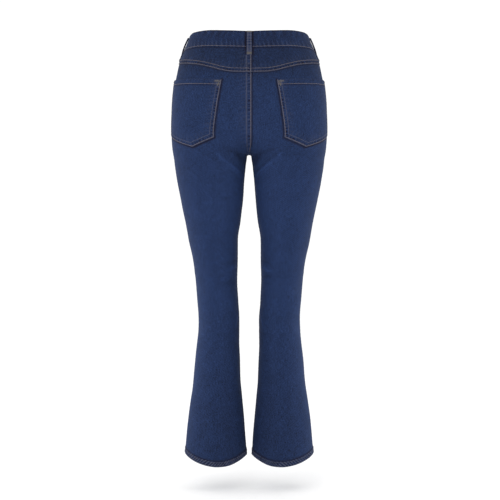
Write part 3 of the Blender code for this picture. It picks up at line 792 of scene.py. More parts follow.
def hem_relief(side, turn, height):
    """Relief and wear of the hem: a doubled band, its rounded edge, and slanting ropes where the
    fold crept as it was sewn, with painted shade in the dip just above the band."""
    up = height - hem(turn)
    band = within(up, HEM_DEPTH, 1.2)
    phase = 2 * math.pi * (turn * FOLD_TURN + 0.9 * up) / HEM_ROPE_PITCH
    wander = 1.1 * np.sin(turn * 17 + side) + 0.8 * np.sin(turn * 31 + 2 * side)
    rope = 0.5 + 0.5 * np.sin(phase + wander)
    lift = band * (1.2 - 0.9 * rope * near(up - HEM_DEPTH / 2, 0, 6)) * MM
    lift = lift - edge_round(up, 0.9 * MM) * band - 0.3 * MM * near(up - HEM_DEPTH, 1.5, 2)
    speck = pucker_wave(turn * FOLD_TURN * 1.7 - 1.1 * up, 91 + side)
    wear_and_shade = band * (1.6 - 2.2 * rope - 1.4 * speck) + 0.3 * near(up, 0, 1.2)
    # painted shade in the dip just above the doubled band
    return lift, wear_and_shade - 0.75 * near(up - HEM_DEPTH, 1.2, 1.7)


def panel_relief(side, turn, height, part):
    """Relief, wear and painted shade of a panel: its centre seam, its inseam and side seam, and its hem."""
    run = runs(height)[PARTS.index(part)]
    to_side = np.abs(turn - 1) * run
    from_middle = run - to_side
    lift, wear_and_shade = centre_seam(side, from_middle, height, CENTRE_SEEDS[part])
    hem_lift, hem_wear_and_shade = hem_relief(side, turn, height)
    lift, wear_and_shade = lift + hem_lift, wear_and_shade + hem_wear_and_shade
    below = within(height - CROTCH, -16 * MM, 16)
    for distance, share, seed in ((from_middle, below, 21), (to_side, 1.0, 22)):
        wave = pucker_wave(height, seed + side)
        soft = ripple(height * 0.8 + distance * 0.3, seed + 3 + side) * near(distance, 6, 10)
        strip = SIDE_RIDGE[part] * within(distance, SIDE_STRIP, 3)
        seam = groove(distance) + ((0.45 - 0.22 * wave) * strip - 0.3 * soft) * MM
        lift = lift + share * seam
        # worn strips, and painted shade along the groove of the inseam and side seam
        wear_and_shade = wear_and_shade + share * (0.30 * strip * (0.6 - wave) - 0.8 * near(distance, 0, 1.3))
    return lift, wear_and_shade


def shadow_beside_loops(side, turn, height):
    """Painted shadow beside the belt loops: a dark bell at each long edge, from the waistband's top edge
    down to the loop's end."""
    wear_and_shade = np.zeros(np.shape(turn))
    down = band_top(turn) - height
    for _, loop_side, turn_at in LOOPS:
        same = (side == loop_side) | (turn_at == 0)
        off = np.abs(turn - turn_at) * runs(height)[int(turn_at > 1)] - LOOP_WIDTH / 2
        # painted shadow beside each long edge of a loop
        wear_and_shade = wear_and_shade - 1.1 * same * near(off, 1, LOOP_SHADE) * (down < LOOP_LENGTH)
    return wear_and_shade


def fading_and_light(side, turn, height):
    """How pale the cloth is made: the wash has paled the ridges of pressed creases and painted shade
    darkens their hollows, and the patches and slopes of two tables add wash fading, painted light on the
    inner thighs and outer calves, and darkening towards the hems and the waist."""
    depth = drawn_in(PRESSED, side, turn, height)
    # pressed creases: paler on their ridges, and painted shade in their hollows
    fade_and_light = PRESSED_FADE * np.maximum(-depth, 0) - PRESSED_SHADE * np.maximum(depth, 0)
    for amount, at, reach, middle, spread in FADED_AND_LIT_PATCHES:
        fade_and_light = fade_and_light + amount * bell((turn - at) / reach) * near(height, middle, spread)
    for amount, at, reach, start, end in FADED_AND_LIT_SLOPES:
        fade_and_light = fade_and_light + amount * bell((turn - at) / reach) * smooth((height / MM - start) / (end - start))
    return fade_and_light


# ---------------------------------------------------------------------------------- making meshes


def crowded(count, crowds):
    """count + 1 shares from 0 to 1, closer together round each place in crowds, a list of
    (place, width, how much closer)."""
    fine = np.linspace(0, 1, 2000)
    density = 1 + sum(more * bell((fine - place) / width) for place, width, more in crowds)
    total = np.concatenate(([0], np.cumsum((density[1:] + density[:-1]) / 2)))
    return np.interp(np.linspace(0, 1, count + 1), total / total[-1], fine)


def grid_faces(rows, columns, start=0):
    """Quads of a grid of points."""
    corner = start + np.arange(rows * columns).reshape(rows, columns)
    corners = (corner[:-1, :-1], corner[:-1, 1:], corner[1:, 1:], corner[1:, :-1])
    return np.stack(corners, -1).reshape(-1, 4)


def tube_faces(rings, sides):
    """Quads between rings of points, and triangles from its end rings to two tips, which follow
    all the rings."""
    here = np.arange(rings * sides).reshape(rings, sides)
    beyond = np.roll(here, -1, 1)
    quads = np.stack((here[:-1], here[1:], beyond[1:], beyond[:-1]), -1).reshape(-1, 4)
    tip = np.full(sides, rings * sides)
    ends = ((here[0], beyond[0], tip), (beyond[-1], here[-1], tip + 1))
    return quads, np.concatenate([np.stack(end, -1) for end in ends])


def border(rows, columns):
    """Indices of the points round a grid, each once and in order."""
    corner = np.arange(rows * columns).reshape(rows, columns)
    return np.concatenate((corner[0, :-1], corner[:-1, -1], corner[-1, :0:-1], corner[:0:-1, 0]))


def new_piece(name, points, quads, triangles, materials, slots=None, attributes=(), uv=None):
    """A mesh object at the origin from arrays, with a UV map in metres of cloth and attributes."""
    mesh = bpy.data.meshes.new(name)
    sizes = np.repeat((4, 3), (len(quads), len(triangles)))
    corners = np.concatenate((np.ravel(quads), np.ravel(triangles))).astype(np.int32)
    mesh.vertices.add(len(points))
    mesh.vertices.foreach_set("co", np.ravel(points).astype(np.float32))
    mesh.loops.add(len(corners))
    mesh.loops.foreach_set("vertex_index", corners)
    mesh.polygons.add(len(sizes))
    mesh.polygons.foreach_set("loop_start", (np.cumsum(sizes) - sizes).astype(np.int32))
    if slots is not None:
        mesh.polygons.foreach_set("material_index", slots.astype(np.int32))
    mesh.update(calc_edges=True)
    for material in materials:
        mesh.materials.append(material)
    if uv is not None:
        layer = mesh.uv_layers.new(name="cloth")
        layer.data.foreach_set("uv", np.ravel(uv[corners]).astype(np.float32))
    for key, values in dict(attributes).items():
        attribute = mesh.attributes.new(key, "FLOAT", "POINT")
        attribute.data.foreach_set("value", values.astype(np.float32))
    mesh.validate()
    mesh.shade_smooth()
    mesh.set_sharp_from_angle(angle=math.radians(48))
    ob = bpy.data.objects.new(name, mesh)
    bpy.context.collection.objects.link(ob)
    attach(ob, "root")
    return ob


def joined(outside, inside):
    """The values of two grids in one row."""
    return np.concatenate([grid.reshape(-1, *grid.shape[2:]) for grid in (outside, inside)])


def cloth_piece(name, cloth, thickness, uv, fade_and_light):
    """A closed shell of cloth from (points, facing, wear and painted shade) of its outside: the inside is
    every second point moved in by the thickness, and the rim joins the two. Faces look outward."""
    points, facing, wear_and_shade = cloth
    fade_and_light = np.broadcast_to(fade_and_light, wear_and_shade.shape)
    inner = (points - facing * thickness)[::2, ::2]
    rows, columns = points.shape[:2]
    count = rows * columns
    outer_faces = grid_faces(rows, columns)
    inner_faces = grid_faces(*inner.shape[:2], start=count)
    fine = border(rows, columns)
    f0, f1, f2 = fine[::2], fine[1::2], np.roll(fine[::2], -1)
    c0 = border(*inner.shape[:2]) + count
    c1 = np.roll(c0, -1)
    rim = np.concatenate([np.stack(three, -1) for three in ((f0, c0, f1), (f1, c1, f2), (f1, c0, c1))])
    p = points.reshape(-1, 3)
    q = outer_faces[len(outer_faces) // 2]
    seen = np.cross(p[q[1]] - p[q[0]], p[q[3]] - p[q[0]]) @ facing.reshape(-1, 3)[q[0]]
    if seen > 0:
        inner_faces = inner_faces[:, ::-1]
    else:
        outer_faces, rim = outer_faces[:, ::-1], rim[:, ::-1]
    quads = np.concatenate((outer_faces, inner_faces))
    slots = np.repeat((0, 1, 0), (len(outer_faces), len(inner_faces), len(rim)))
    # wear with painted shade, and wash fading with painted light, for the denim's colour
    attributes = {"wear_and_shade": joined(wear_and_shade, wear_and_shade[::2, ::2]), "fade_and_light": joined(fade_and_light, fade_and_light[::2, ::2])}
    materials = (denim(), denim_reverse())
    both_uv = joined(uv, uv[::2, ::2])
    return new_piece(name, joined(points, inner), quads, rim, materials, slots, attributes, both_uv)


def make_sheet(name, node, cloth, uv, fade_and_light, thickness=None):
    """Makes a piece of cloth and hides the solid that it stands for."""
    thickness = thickness or bpy.context.scene.jeans_cloth.thickness
    ob = cloth_piece(name, cloth, thickness, uv, fade_and_light)
    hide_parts(node)


# --------------------------------------------------------------------------------------- materials


def feed(tree, node, inputs):
    """Sets a node's sockets to values, or links them to the sockets that feed them."""
    for key, value in inputs.items():
        if isinstance(value, bpy.types.NodeSocket):
            tree.links.new(value, node.inputs[key])
        else:
            node.inputs[key].default_value = value


def add_node(tree, kind, inputs=(), **settings):
    """Adds a node with its own settings and the values or links of its inputs."""
    node = tree.nodes.new(kind)
    for key, value in settings.items():
        setattr(node, key, value)
    feed(tree, node, dict(inputs))
    return node


def new_material(name):
    """An empty material with a Principled shader: (material, tree, shader)."""
    material = bpy.data.materials.new(name)
    material.use_nodes = True
    return material, material.node_tree, material.node_tree.nodes["Principled BSDF"]


def cloth_noise(tree, across, along, detail=2.0):
    """A noise on the cloth's own coordinates, stretched to the given widths."""
    uv = add_node(tree, "ShaderNodeUVMap", uv_map="cloth").outputs["UV"]
    widths = {0: uv, 1: (1 / across, 1 / along, 1)}
    scaled = add_node(tree, "ShaderNodeVectorMath", widths, operation="MULTIPLY").outputs[0]
    inputs = {"Vector": scaled, "Scale": 1.0, "Detail": detail}
    return add_node(tree, "ShaderNodeTexNoise", inputs, noise_dimensions="2D").outputs["Fac"]


def object_noise(tree, scale, detail):
    """A noise on the piece's object coordinates, of so many waves to the metre."""
    place = add_node(tree, "ShaderNodeTexCoord").outputs["Object"]
    inputs = {"Vector": place, "Scale": scale, "Detail": detail}
    return add_node(tree, "ShaderNodeTexNoise", inputs).outputs["Fac"]


def weighted(tree, parts):
    """The sum of (socket - 0.5) times a weight for each part."""
    total = None
    for socket, weight in parts:
        inputs = {0: socket, 1: weight, 2: -weight / 2}
        centred = add_node(tree, "ShaderNodeMath", inputs, operation="MULTIPLY_ADD").outputs[0]
        if total is None:
            total = centred
        else:
            total = add_node(tree, "ShaderNodeMath", {0: total, 1: centred}).outputs[0]
    return total


def toned(tree, colour, tone):
    """A colour times 1 + tone."""
    gain = add_node(tree, "ShaderNodeMath", {0: tone, 1: 1.0}).outputs[0]
    inputs = {0: colour[:3], 1: gain}
    return add_node(tree, "ShaderNodeVectorMath", inputs, operation="MULTIPLY").outputs[0]


@functools.cache
def denim():
    """Stretch denim, 12 oz, the indigo warp face: a dark blue twill, softly mottled by one wash, paler on
    worn ridges, darker with painted shade in dips and beside raised edges, lighter with painted light on
    the inner thighs and outer calves, with the faint bloom of cotton nap at grazing angles."""
    cloth = bpy.context.scene.jeans_cloth
    material, tree, shader = new_material("indigo stretch denim")
    warp = cloth_noise(tree, WARP_WIDTH, WARP_LENGTH)
    weft = cloth_noise(tree, WEFT_LENGTH, WARP_WIDTH)
    mottle = cloth_noise(tree, MOTTLE, 1.6 * MOTTLE, 3.0)
    speckle = cloth_noise(tree, SPECKLE, SPECKLE)
    uv = add_node(tree, "ShaderNodeUVMap", uv_map="cloth").outputs["UV"]
    slant = {"Vector": uv, "Rotation": (0, 0, TWILL_SLANT), "Scale": (1 / TWILL_PITCH,) * 3}
    slanted = add_node(tree, "ShaderNodeMapping", slant).outputs[0]
    lines = {"Vector": slanted, "Scale": 1 / (2 * math.pi), "Distortion": 1.2}
    twill = add_node(tree, "ShaderNodeTexWave", lines, bands_direction="X").outputs["Fac"]
    tone = weighted(tree, ((warp, 1.1), (weft, 0.5), (mottle, 0.42), (speckle, 1.5), (twill, 0.35)))
    fade_and_light, wear_and_shade = (
        add_node(tree, "ShaderNodeAttribute", attribute_name=name).outputs["Fac"]
        for name in ("fade_and_light", "wear_and_shade")
    )
    # the fade attribute: wash fading, with painted light on the inner thighs and outer calves and painted
    # shade in crease hollows
    inputs = {0: fade_and_light, 1: FADE_GAIN, 2: tone}
    paler = add_node(tree, "ShaderNodeMath", inputs, operation="MULTIPLY_ADD").outputs[0]
    colour = toned(tree, cloth.face, paler)
    # the wear attribute: toward the worn colour where worn, toward the dark colour in dips and as painted
    # shade
    for full, reached in ((1.0, cloth.worn), (-1.0, cloth.dark)):
        inputs = {"Value": wear_and_shade, "From Min": 0.0, "From Max": full}
        share = add_node(tree, "ShaderNodeMapRange", inputs).outputs[0]
        inputs = {"Factor": share, "A": colour, "B": reached}
        colour = add_node(tree, "ShaderNodeMix", inputs, data_type="RGBA").outputs["Result"]
    weave = weighted(tree, ((twill, 0.5), (speckle, 1.0), (warp, 0.5)))
    relief = {"Height": weave, "Strength": 0.6, "Distance": 0.35 * MM}
    settings = {
        "Base Color": colour,
        "Normal": add_node(tree, "ShaderNodeBump", relief).outputs["Normal"],
        "Roughness": 0.86,
        "Specular IOR Level": 0.15,
        "Sheen Weight": 0.06,
        "Sheen Roughness": 0.45,
        "Sheen Tint": srgb("8fa3d0"),
    }
    feed(tree, shader, settings)
    return material


@functools.cache
def denim_reverse():
    """The inside of the denim: the pale weft floats on top, with the warp showing through."""
    cloth = bpy.context.scene.jeans_cloth
    material, tree, shader = new_material("denim reverse, pale weft")
    warp = cloth_noise(tree, WARP_WIDTH, WARP_LENGTH)
    speckle = cloth_noise(tree, SPECKLE, SPECKLE, 3.0)
    tone = weighted(tree, ((warp, 0.5), (speckle, 0.5)))
    relief = {"Height": tone, "Strength": 0.5, "Distance": 0.3 * MM}
    settings = {
        "Base Color": toned(tree, cloth.reverse, tone),
        "Normal": add_node(tree, "ShaderNodeBump", relief).outputs["Normal"],
        "Roughness": 0.9,
        "Specular IOR Level": 0.2,
    }
    feed(tree, shader, settings)
    return material


@functools.cache
def thread(kind):
    """Spun polyester thread: a washed tan for topstitching, stained blue where it has sunk in, and
    a duller brown for bar tacks, its fibres uneven in tone and in the bump."""
    colours = bpy.context.scene.jeans_thread
    colour = {"topstitch": colours.topstitch, "sunk row": colours.sunk, "bar tack": colours.tack}[kind]
    material, tree, shader = new_material(f"{kind} thread, spun polyester")
    noise = object_noise(tree, THREAD_GRAIN, 2.0)
    relief = {"Height": noise, "Strength": 0.4, "Distance": 0.1 * MM}
    settings = {
        "Base Color": toned(tree, colour, weighted(tree, ((noise, 0.7),))),
        "Normal": add_node(tree, "ShaderNodeBump", relief).outputs["Normal"],
        "Roughness": 0.55,
    }
    feed(tree, shader, settings)
    return material


@functools.cache
def aged_brass():
    """Stamped brass, tumbled and lacquered: warm, softly reflecting, darker in patches."""
    material, tree, shader = new_material("aged stamped brass")
    noise = object_noise(tree, BRASS_GRAIN, 4.0)
    rough = {"Value": noise, "To Min": 0.28, "To Max": 0.5}
    settings = {
        "Base Color": toned(tree, bpy.context.scene.jeans_button.brass, weighted(tree, ((noise, 0.8),))),
        "Roughness": add_node(tree, "ShaderNodeMapRange", rough).outputs[0],
        "Metallic": 1.0,
    }
    feed(tree, shader, settings)
    return material


# ------------------------------------------------------------------------------------------ panels


def reach(side, part, share, height):
    """Turns at shares of a panel's width: the left runs on past the centre by the lap, and the
    right starts under it."""
    start = -lap(height) if side < 0 else np.maximum(lap(height) - TUCK, 0)
    start = start / runs(height)[PARTS.index(part)]
    turn = start + share * (1 - start)
    return turn if part == "back" else 2 - turn


def panel_top(turn, part):
    """Height of a panel's top edge, with its tuck under the piece above it."""
    if part == "back":
        return yoke_seam(turn) + TUCK
    return scoop(turn.clip(1, 2)) + TUCK * (turn > 1 + SCOOP_TURNS)


def panel_shares():
    """Shares of a panel's or a yoke's width, closer together at its seams."""
    return crowded(PANEL_COLUMNS, ((0, 0.07, 1.6), (1, 0.05, 1.2)))[None, :]


def panel_grid(side, part):
    """Turns and heights of a panel's grid: rows share out the height from its top edge to the
    crotch and from there to the hem, closer together at the crotch, the top and the hem."""
    above = crowded(PANEL_ROWS_ABOVE, ((1, 0.05, 5), (0, 0.06, 1)))[:, None]
    below = crowded(PANEL_ROWS_BELOW, ((0, 0.01, 6), (1, 0.018, 3)))[1:, None]
    share = panel_shares()
    top = panel_top(reach(side, part, share, CROTCH), part)
    low = hem(share if part == "back" else 2 - share)
    first = CROTCH + (1 - above) * (top - CROTCH)
    height = np.concatenate((first, CROTCH + below * (low - CROTCH)))
    return reach(side, part, share, height), height


def scoop_distance(turn, height):
    """Distance from the scooped edge of a front pocket, and the length along it."""
    at = np.linspace(1, 1 + SCOOP_TURNS, 90)
    edge = np.stack((at * FOLD_TURN, scoop(at)), -1)
    place = np.stack((turn * FOLD_TURN, height), -1)
    far = np.full(turn.shape, np.inf)
    where = np.zeros(turn.shape)
    for point, along in zip(edge, run_along(edge)):
        off = np.linalg.norm(place - point, axis=-1)
        where = np.where(off < far, along, where)
        far = np.minimum(far, off)
    return far, where


def panel_cloth(side, turn, height, part):
    """Points, facing and wear of a panel's outside, relief and all, with painted shadow under the yoke's
    edge and round the outside of the back pockets.
    """
    points, facing = on_form(side, turn, height)
    lift, wear_and_shade = panel_relief(side, turn, height, part)
    if part == "back":
        under = yoke_seam(turn) - height
        inside, along = pocket_distance(turn, height)
        soft = 0.2 * ripple(along * 0.9, 77) * near(inside, -6, 6) * (inside < 0)
        lift = lift - 0.3 * MM * within(under, 0, 3) - MM * soft
        # painted shadow under the yoke's lapped edge and round the outside of the back pocket
        wear_and_shade = wear_and_shade - 0.8 * near(under, 0, 2.2) - 1.0 * near(inside, -1.4, 2.4) * (inside < 0)
    else:
        off, along = scoop_distance(turn, height)
        edge_lift, edge_wear_and_shade = sewn(off, along, POCKET_STRIP, 41 + side)
        strip = within(off, POCKET_STRIP, 2.5)
        lift = lift + 0.5 * MM * strip + edge_lift - edge_round(off, 0.7 * MM)
        wear_and_shade = wear_and_shade + edge_wear_and_shade + 0.45 * near(off, 0, 1.2)
    return points + facing * lift[..., None], facing, wear_and_shade


def cloth_uv(turn, height):
    """The cloth's own coordinates in metres, across from the side seam and along."""
    back_run, front_run = runs(height)
    return np.stack(((turn - 1) * np.where(turn <= 1, back_run, front_run), height), -1)


class JEANS_OT_panels(bpy.types.Operator):
    """Four panels from the waist seams to the hems. Formula: a grid on the form, moved out by the
    relief of its seams and hem and in by folds and creases."""

    bl_idname = "jeans.panels"
    bl_label = "Panels"

    def execute(self, context):
        for part in PARTS:
            for name, side in SIDES:
                turn, height = panel_grid(side, part)
                cloth = panel_cloth(side, turn, height, part)
                uv = cloth_uv(turn, height) + (0.37 * side, 0.19)
                fade_and_light = fading_and_light(side, turn, height)
                make_sheet(f"denim_{part}_{name}", f"{part}_panel_{name}", cloth, uv, fade_and_light)
        return {"FINISHED"}


# ------------------------------------------------------------------------------ yokes and waistband


def yoke_cloth(side, turn, height):
    """Points, facing and wear of a yoke's outside: its lower edge lies over the back panel. Painted
    shadow darkens it under the waistband and beside the loops, and painted shade its side seam's groove.
    """
    points, facing = on_form(side, turn, height)
    run = runs(height)[0]
    up = height - yoke_seam(turn)
    from_band = band_bottom(turn) - height
    to_side = (1 - turn) * run
    lift, wear_and_shade = sewn(up, turn * FOLD_TURN, YOKE_STRIP, 31 + side)
    seam_lift, seam_wear_and_shade = centre_seam(side, turn * run, height, CENTRE_SEEDS["back"])
    lift = lift + 1.0 * MM * within(up, YOKE_STRIP, 2.5) - edge_round(up, 0.8 * MM)
    lift = lift + seam_lift + groove(to_side) - 0.3 * MM * within(from_band, 0, 2)
    # painted shadow under the waistband's edge
    wear_and_shade = wear_and_shade + 0.45 * near(up, 0, 1.2) + seam_wear_and_shade - 0.7 * near(from_band, 0, 2.5)
    # painted shade in the side seam's groove, and painted shadow beside the loops
    wear_and_shade = wear_and_shade - 0.8 * near(to_side, 0, 1.3) + shadow_beside_loops(side, turn, height)
    crossing = np.hypot(turn * run - 1.5 * side * MM, up - 3 * MM)
    return points + facing * lift[..., None], facing, wear_and_shade + 0.9 * near(crossing, 0, 3)


class JEANS_OT_yokes(bpy.types.Operator):
    """The two yokes. Formula: a grid between the waistband and the curved yoke seam, its lower
    edge raised as a sewn strip."""

    bl_idname = "jeans.yokes"
    bl_label = "Yokes"

    def execute(self, context):
        rows = crowded(YOKE_ROWS, ((1, 0.12, 1.5),))[:, None]
        share = panel_shares()
        for name, side in SIDES:
            guess = reach(side, "back", share, yoke_seam(share))
            high = band_bottom(guess) + TUCK
            height = high + rows * (yoke_seam(guess) - high)
            turn = reach(side, "back", share, height)
            cloth = yoke_cloth(side, turn, height)
            uv = cloth_uv(turn, height) * (0.9, 1.1) + (0.77 * side, 0.63)
            make_sheet(f"denim_yoke_{name}", f"yoke_{name}", cloth, uv, fading_and_light(side, turn, height))
        return {"FINISHED"}


def band_cloth(side, turn, height, dip):
    """Points, facing and wear of the waistband's outside, dip being how far it is pushed in, with painted
    shade along its rounded top edge, in the dips of its ripples and beside the loops.
    """
    points, facing = on_form(side, turn, height)
    up = height - band_bottom(turn)
    down = BAND_HEIGHT - up
    along = turn * side * FOLD_TURN
    wave = ripple(along * 0.62 + 0.15 * up, 61) * near(up, 7, 11)
    slow = ripple(along * 0.35 - 0.1 * up, 62) * near(down, 8, 12)
    row = near(up - BAND_STITCH, 0, 1)
    full = bell((up / BAND_HEIGHT - 0.5) / 0.3)
    pulled = bell((turn - SIDE_LOOP) / 0.06) * near(down, 8, 9)
    relief = 0.35 * full - 0.45 * wave - 0.4 * slow - 0.25 * row - 2.0 * pulled
    lift = BAND_PROUD - dip + relief * MM - edge_round(up, 1.0 * MM) - edge_round(down, 1.3 * MM)
    # ripples pale on their ridges and painted shade in their dips, and painted shade along the top edge
    wear_and_shade = -0.16 - 0.75 * wave - 0.5 * slow + 0.35 * row - 0.8 * near(down, 0, 2.0)
    return points + facing * lift[..., None], facing, wear_and_shade + shadow_beside_loops(side, turn, height)


def band_grid():
    """Turns from the left end over the back to the right end, heights, and the dip of the end
    that runs under the other."""
    one = runs(band_middle(2.0))[1]
    turns = np.linspace(-2 - BAND_LAP_OVER / one, 2 + BAND_LAP_UNDER / one, BAND_COLUMNS + 1)
    rows = crowded(BAND_ROWS, ((0, 0.08, 1.5), (1, 0.08, 1.5)))[:, None]
    start = 2 - (BAND_LAP_OVER + BAND_LAP_RAMP) / one
    dip = smooth((turns - start) * one / BAND_LAP_RAMP) * (BAND_THICKNESS + 0.3 * MM)
    return np.broadcast_arrays(turns, band_top(turns) - rows * BAND_HEIGHT, dip)


def either_side(cloth, turn, *rest):
    """A cloth function that takes a side, for signed turns that cross the middle back."""
    left, right = (cloth(side, side * turn, *rest) for side in (-1, 1))
    pick = turn >= 0
    return tuple(
        np.where(pick[..., None] if a.ndim > turn.ndim else pick, b, a) for a, b in zip(left, right)
    )


class JEANS_OT_waistband(bpy.types.Operator):
    """The waistband. Formula: a grid round the waist on signed turns, its right end dipping under
    its left, both long edges rounded and the cloth between them full and puckered."""

    bl_idname = "jeans.waistband"
    bl_label = "Waistband"

    def execute(self, context):
        turn, height, dip = band_grid()
        cloth = either_side(band_cloth, turn, height, dip)
        uv = np.stack((turn * FOLD_TURN, height * 0.8), -1)
        make_sheet("denim_waistband", "waistband", cloth, uv, BAND_FADE, BAND_THICKNESS - 0.2 * MM)
        return {"FINISHED"}


# ------------------------------------------------------------------------------------ back pockets


def pocket_distance(turn, height):
    """Distance inside a pocket's side and bottom edges, below zero outside its outline, and the
    length along the nearest of them."""
    place = np.stack((turn * POCKET_TURN, height), -1)
    best = np.full(turn.shape, np.inf)
    inside = np.ones(turn.shape, bool)
    where = np.zeros(turn.shape)
    total = 0.0
    for k, (a, b) in enumerate(zip(POCKET_OUTLINE, np.roll(POCKET_OUTLINE, -1, axis=0))):
        length = np.linalg.norm(b - a)
        way = (b - a) / length
        inside &= (place - a) @ turned(way) > 0
        if k == 0:
            continue  # the top edge is open
        along = ((place - a) @ way).clip(0, length)
        off = np.linalg.norm(place - a - along[..., None] * way, axis=-1)
        where = np.where(off < best, total + along, where)
        best = np.minimum(best, off)
        total += length
    return np.where(inside, best, -best), where


def pocket_cloth(side, turn, height):
    """Points, facing and wear of a pocket's outside, with painted shade below its doubled hem's lower edge.
    """
    points, facing = on_form(side, turn, height)
    inside, along = pocket_distance(turn, height)
    lowest, highest = POCKET_OUTLINE[:, 1].min(), POCKET_OUTLINE[:, 1].max()
    gape = POCKET_GAPE * ((height - lowest) / (highest - lowest)).clip(0, 1) ** POCKET_GAPE_POWER
    down = pocket_top(turn) - height
    row = near(down, POCKET_HEM_STITCH, 1)
    soft = ripple(turn * POCKET_TURN, 57 + side) * near(down, 13, 5)
    doubled = np.maximum(within(inside, POCKET_STRIP, 2.5), within(down, POCKET_HEM, 1.5))
    lift, wear_and_shade = sewn(inside, along, POCKET_STRIP, 51 + side)
    lift = lift + gape + (0.95 + 0.45 * doubled - 0.25 * row - 0.25 * soft) * MM
    lift = lift - edge_round(inside, 0.9 * MM) - edge_round(down, 0.9 * MM)
    wear_and_shade = wear_and_shade + 0.6 * near(inside, 0, 1.3) + 0.35 * near(down, 0, 1.2)
    # painted shade below the lower edge of the pocket's doubled hem
    wear_and_shade = wear_and_shade - 0.6 * near(down, 14, 1.4) + 0.25 * row
    corner = np.hypot(inside - 6 * MM, down - 8 * MM)
    wear_and_shade = wear_and_shade + 0.6 * near(corner, 0, 9) * (0.5 + pucker_wave(height * 2, 58))
    return points + facing * lift[..., None], facing, wear_and_shade


def pocket_grid():
    """Turns and heights of a pocket's grid: a blend down from its top edge to its pointed bottom
    edge, which has a column at the point."""
    top_inner, top_outer, low_outer, point, low_inner = POCKET_OUTLINE
    at_point = (point[0] - low_inner[0]) / (low_outer[0] - low_inner[0])
    across = crowded(POCKET_COLUMNS, ((0, 0.07, 1.3), (1, 0.07, 1.3)))
    across[np.abs(across - at_point).argmin()] = at_point
    down = crowded(POCKET_ROWS, ((0, 0.05, 1.3), (1, 0.06, 1.3)))[:, None, None]
    top = top_inner + across[:, None] * (top_outer - top_inner)
    knots = zip(low_inner, point, low_outer)
    bottom = np.stack([np.interp(across, (0, at_point, 1), values) for values in knots], -1)
    grid = top * (1 - down) + bottom * down
    return grid[..., 0] / POCKET_TURN, grid[..., 1]


class JEANS_OT_back_pockets(bpy.types.Operator):
    """The patch pockets. Formula: the panel's own surface over the pocket's outline, moved out by
    two layers at its turned edges and hem, and standing off a little at the top."""

    bl_idname = "jeans.back_pockets"
    bl_label = "Back pockets"

    def execute(self, context):
        turn, height = pocket_grid()
        for name, side in SIDES:
            cloth = pocket_cloth(side, turn, height)
            uv = np.stack((turn * POCKET_TURN + 1.3 * side, height * 1.02 + 0.2), -1)
            fade_and_light = fading_and_light(side, turn, height) - 0.15
            piece, under = f"denim_back_pocket_{name}", [f"denim_back_{name}"]
            make_sheet(piece, f"back_pocket_{name}", cloth, uv, fade_and_light)
        return {"FINISHED"}


# ---------------------------------------------------------- belt loops, pocket facings and the fly


def loop_cloth(side, turn_at, across, down):
    """Points, facing and wear of a belt loop: across from -0.5 to 0.5 of its width, down from 0
    to 1. It bows off the waistband between its two ends, and painted shade darkens its long edges."""
    one = runs(band_middle(turn_at))[int(turn_at > 1)]
    height = band_top(turn_at) - down * LOOP_LENGTH
    points, facing = on_form(side, turn_at + across * LOOP_WIDTH / one, height)
    band_share = BAND_HEIGHT / LOOP_LENGTH
    bow = np.sin(math.pi * (down / band_share).clip(0, 1)) ** LOOP_FULLNESS
    ease = ((down - band_share) / (1 - band_share)).clip(0, 1)
    edge = (0.5 - np.abs(across)) * LOOP_WIDTH
    end = np.minimum(down, 1 - down) * LOOP_LENGTH
    wave = ripple(down * LOOP_LENGTH, 71)
    off = LOOP_LIFT + LOOP_SLACK * bow + BAND_PROUD * (1 - ease)
    off = off - edge_round(edge, 1.2 * MM) - edge_round(end, 1.2 * MM)
    off = off - 0.3 * MM * near(edge - LOOP_STITCH, 0, 0.8) - 0.12 * MM * wave * bell(across / 0.3)
    wear_and_shade = 0.4 + 0.25 * near(edge - LOOP_STITCH, 0, 1) - 0.3 * bell(across / 0.12) - 0.7 * wave
    # painted shade along the loop's long edges
    wear_and_shade = wear_and_shade - 1.1 * near(edge, 0, 1.3) + 0.4 * bell((down - 0.93) / 0.05)
    return points + facing * off[..., None], facing, wear_and_shade


class JEANS_OT_belt_loops(bpy.types.Operator):
    """Five belt loops. Formula: a strip from the waistband's top edge down over it, bowed off it by
    a half wave to a power, with rounded edges."""

    bl_idname = "jeans.belt_loops"
    bl_label = "Belt loops"

    def execute(self, context):
        across = crowded(LOOP_COLUMNS, ((0, 0.2, 1), (1, 0.2, 1)))[None, :] - 0.5
        down = crowded(LOOP_ROWS, ((0, 0.05, 1), (1, 0.05, 1)))[:, None]
        uv = np.stack(np.broadcast_arrays(across * LOOP_WIDTH, down * LOOP_LENGTH), -1)
        for name, side, turn_at in LOOPS:
            cloth = loop_cloth(side, turn_at, across, down)
            piece, node = f"denim_belt_loop_{name}", f"belt_loop_{name}"
            make_sheet(piece, node, cloth, uv + turn_at, BAND_FADE, LOOP_THICKNESS)
        return {"FINISHED"}


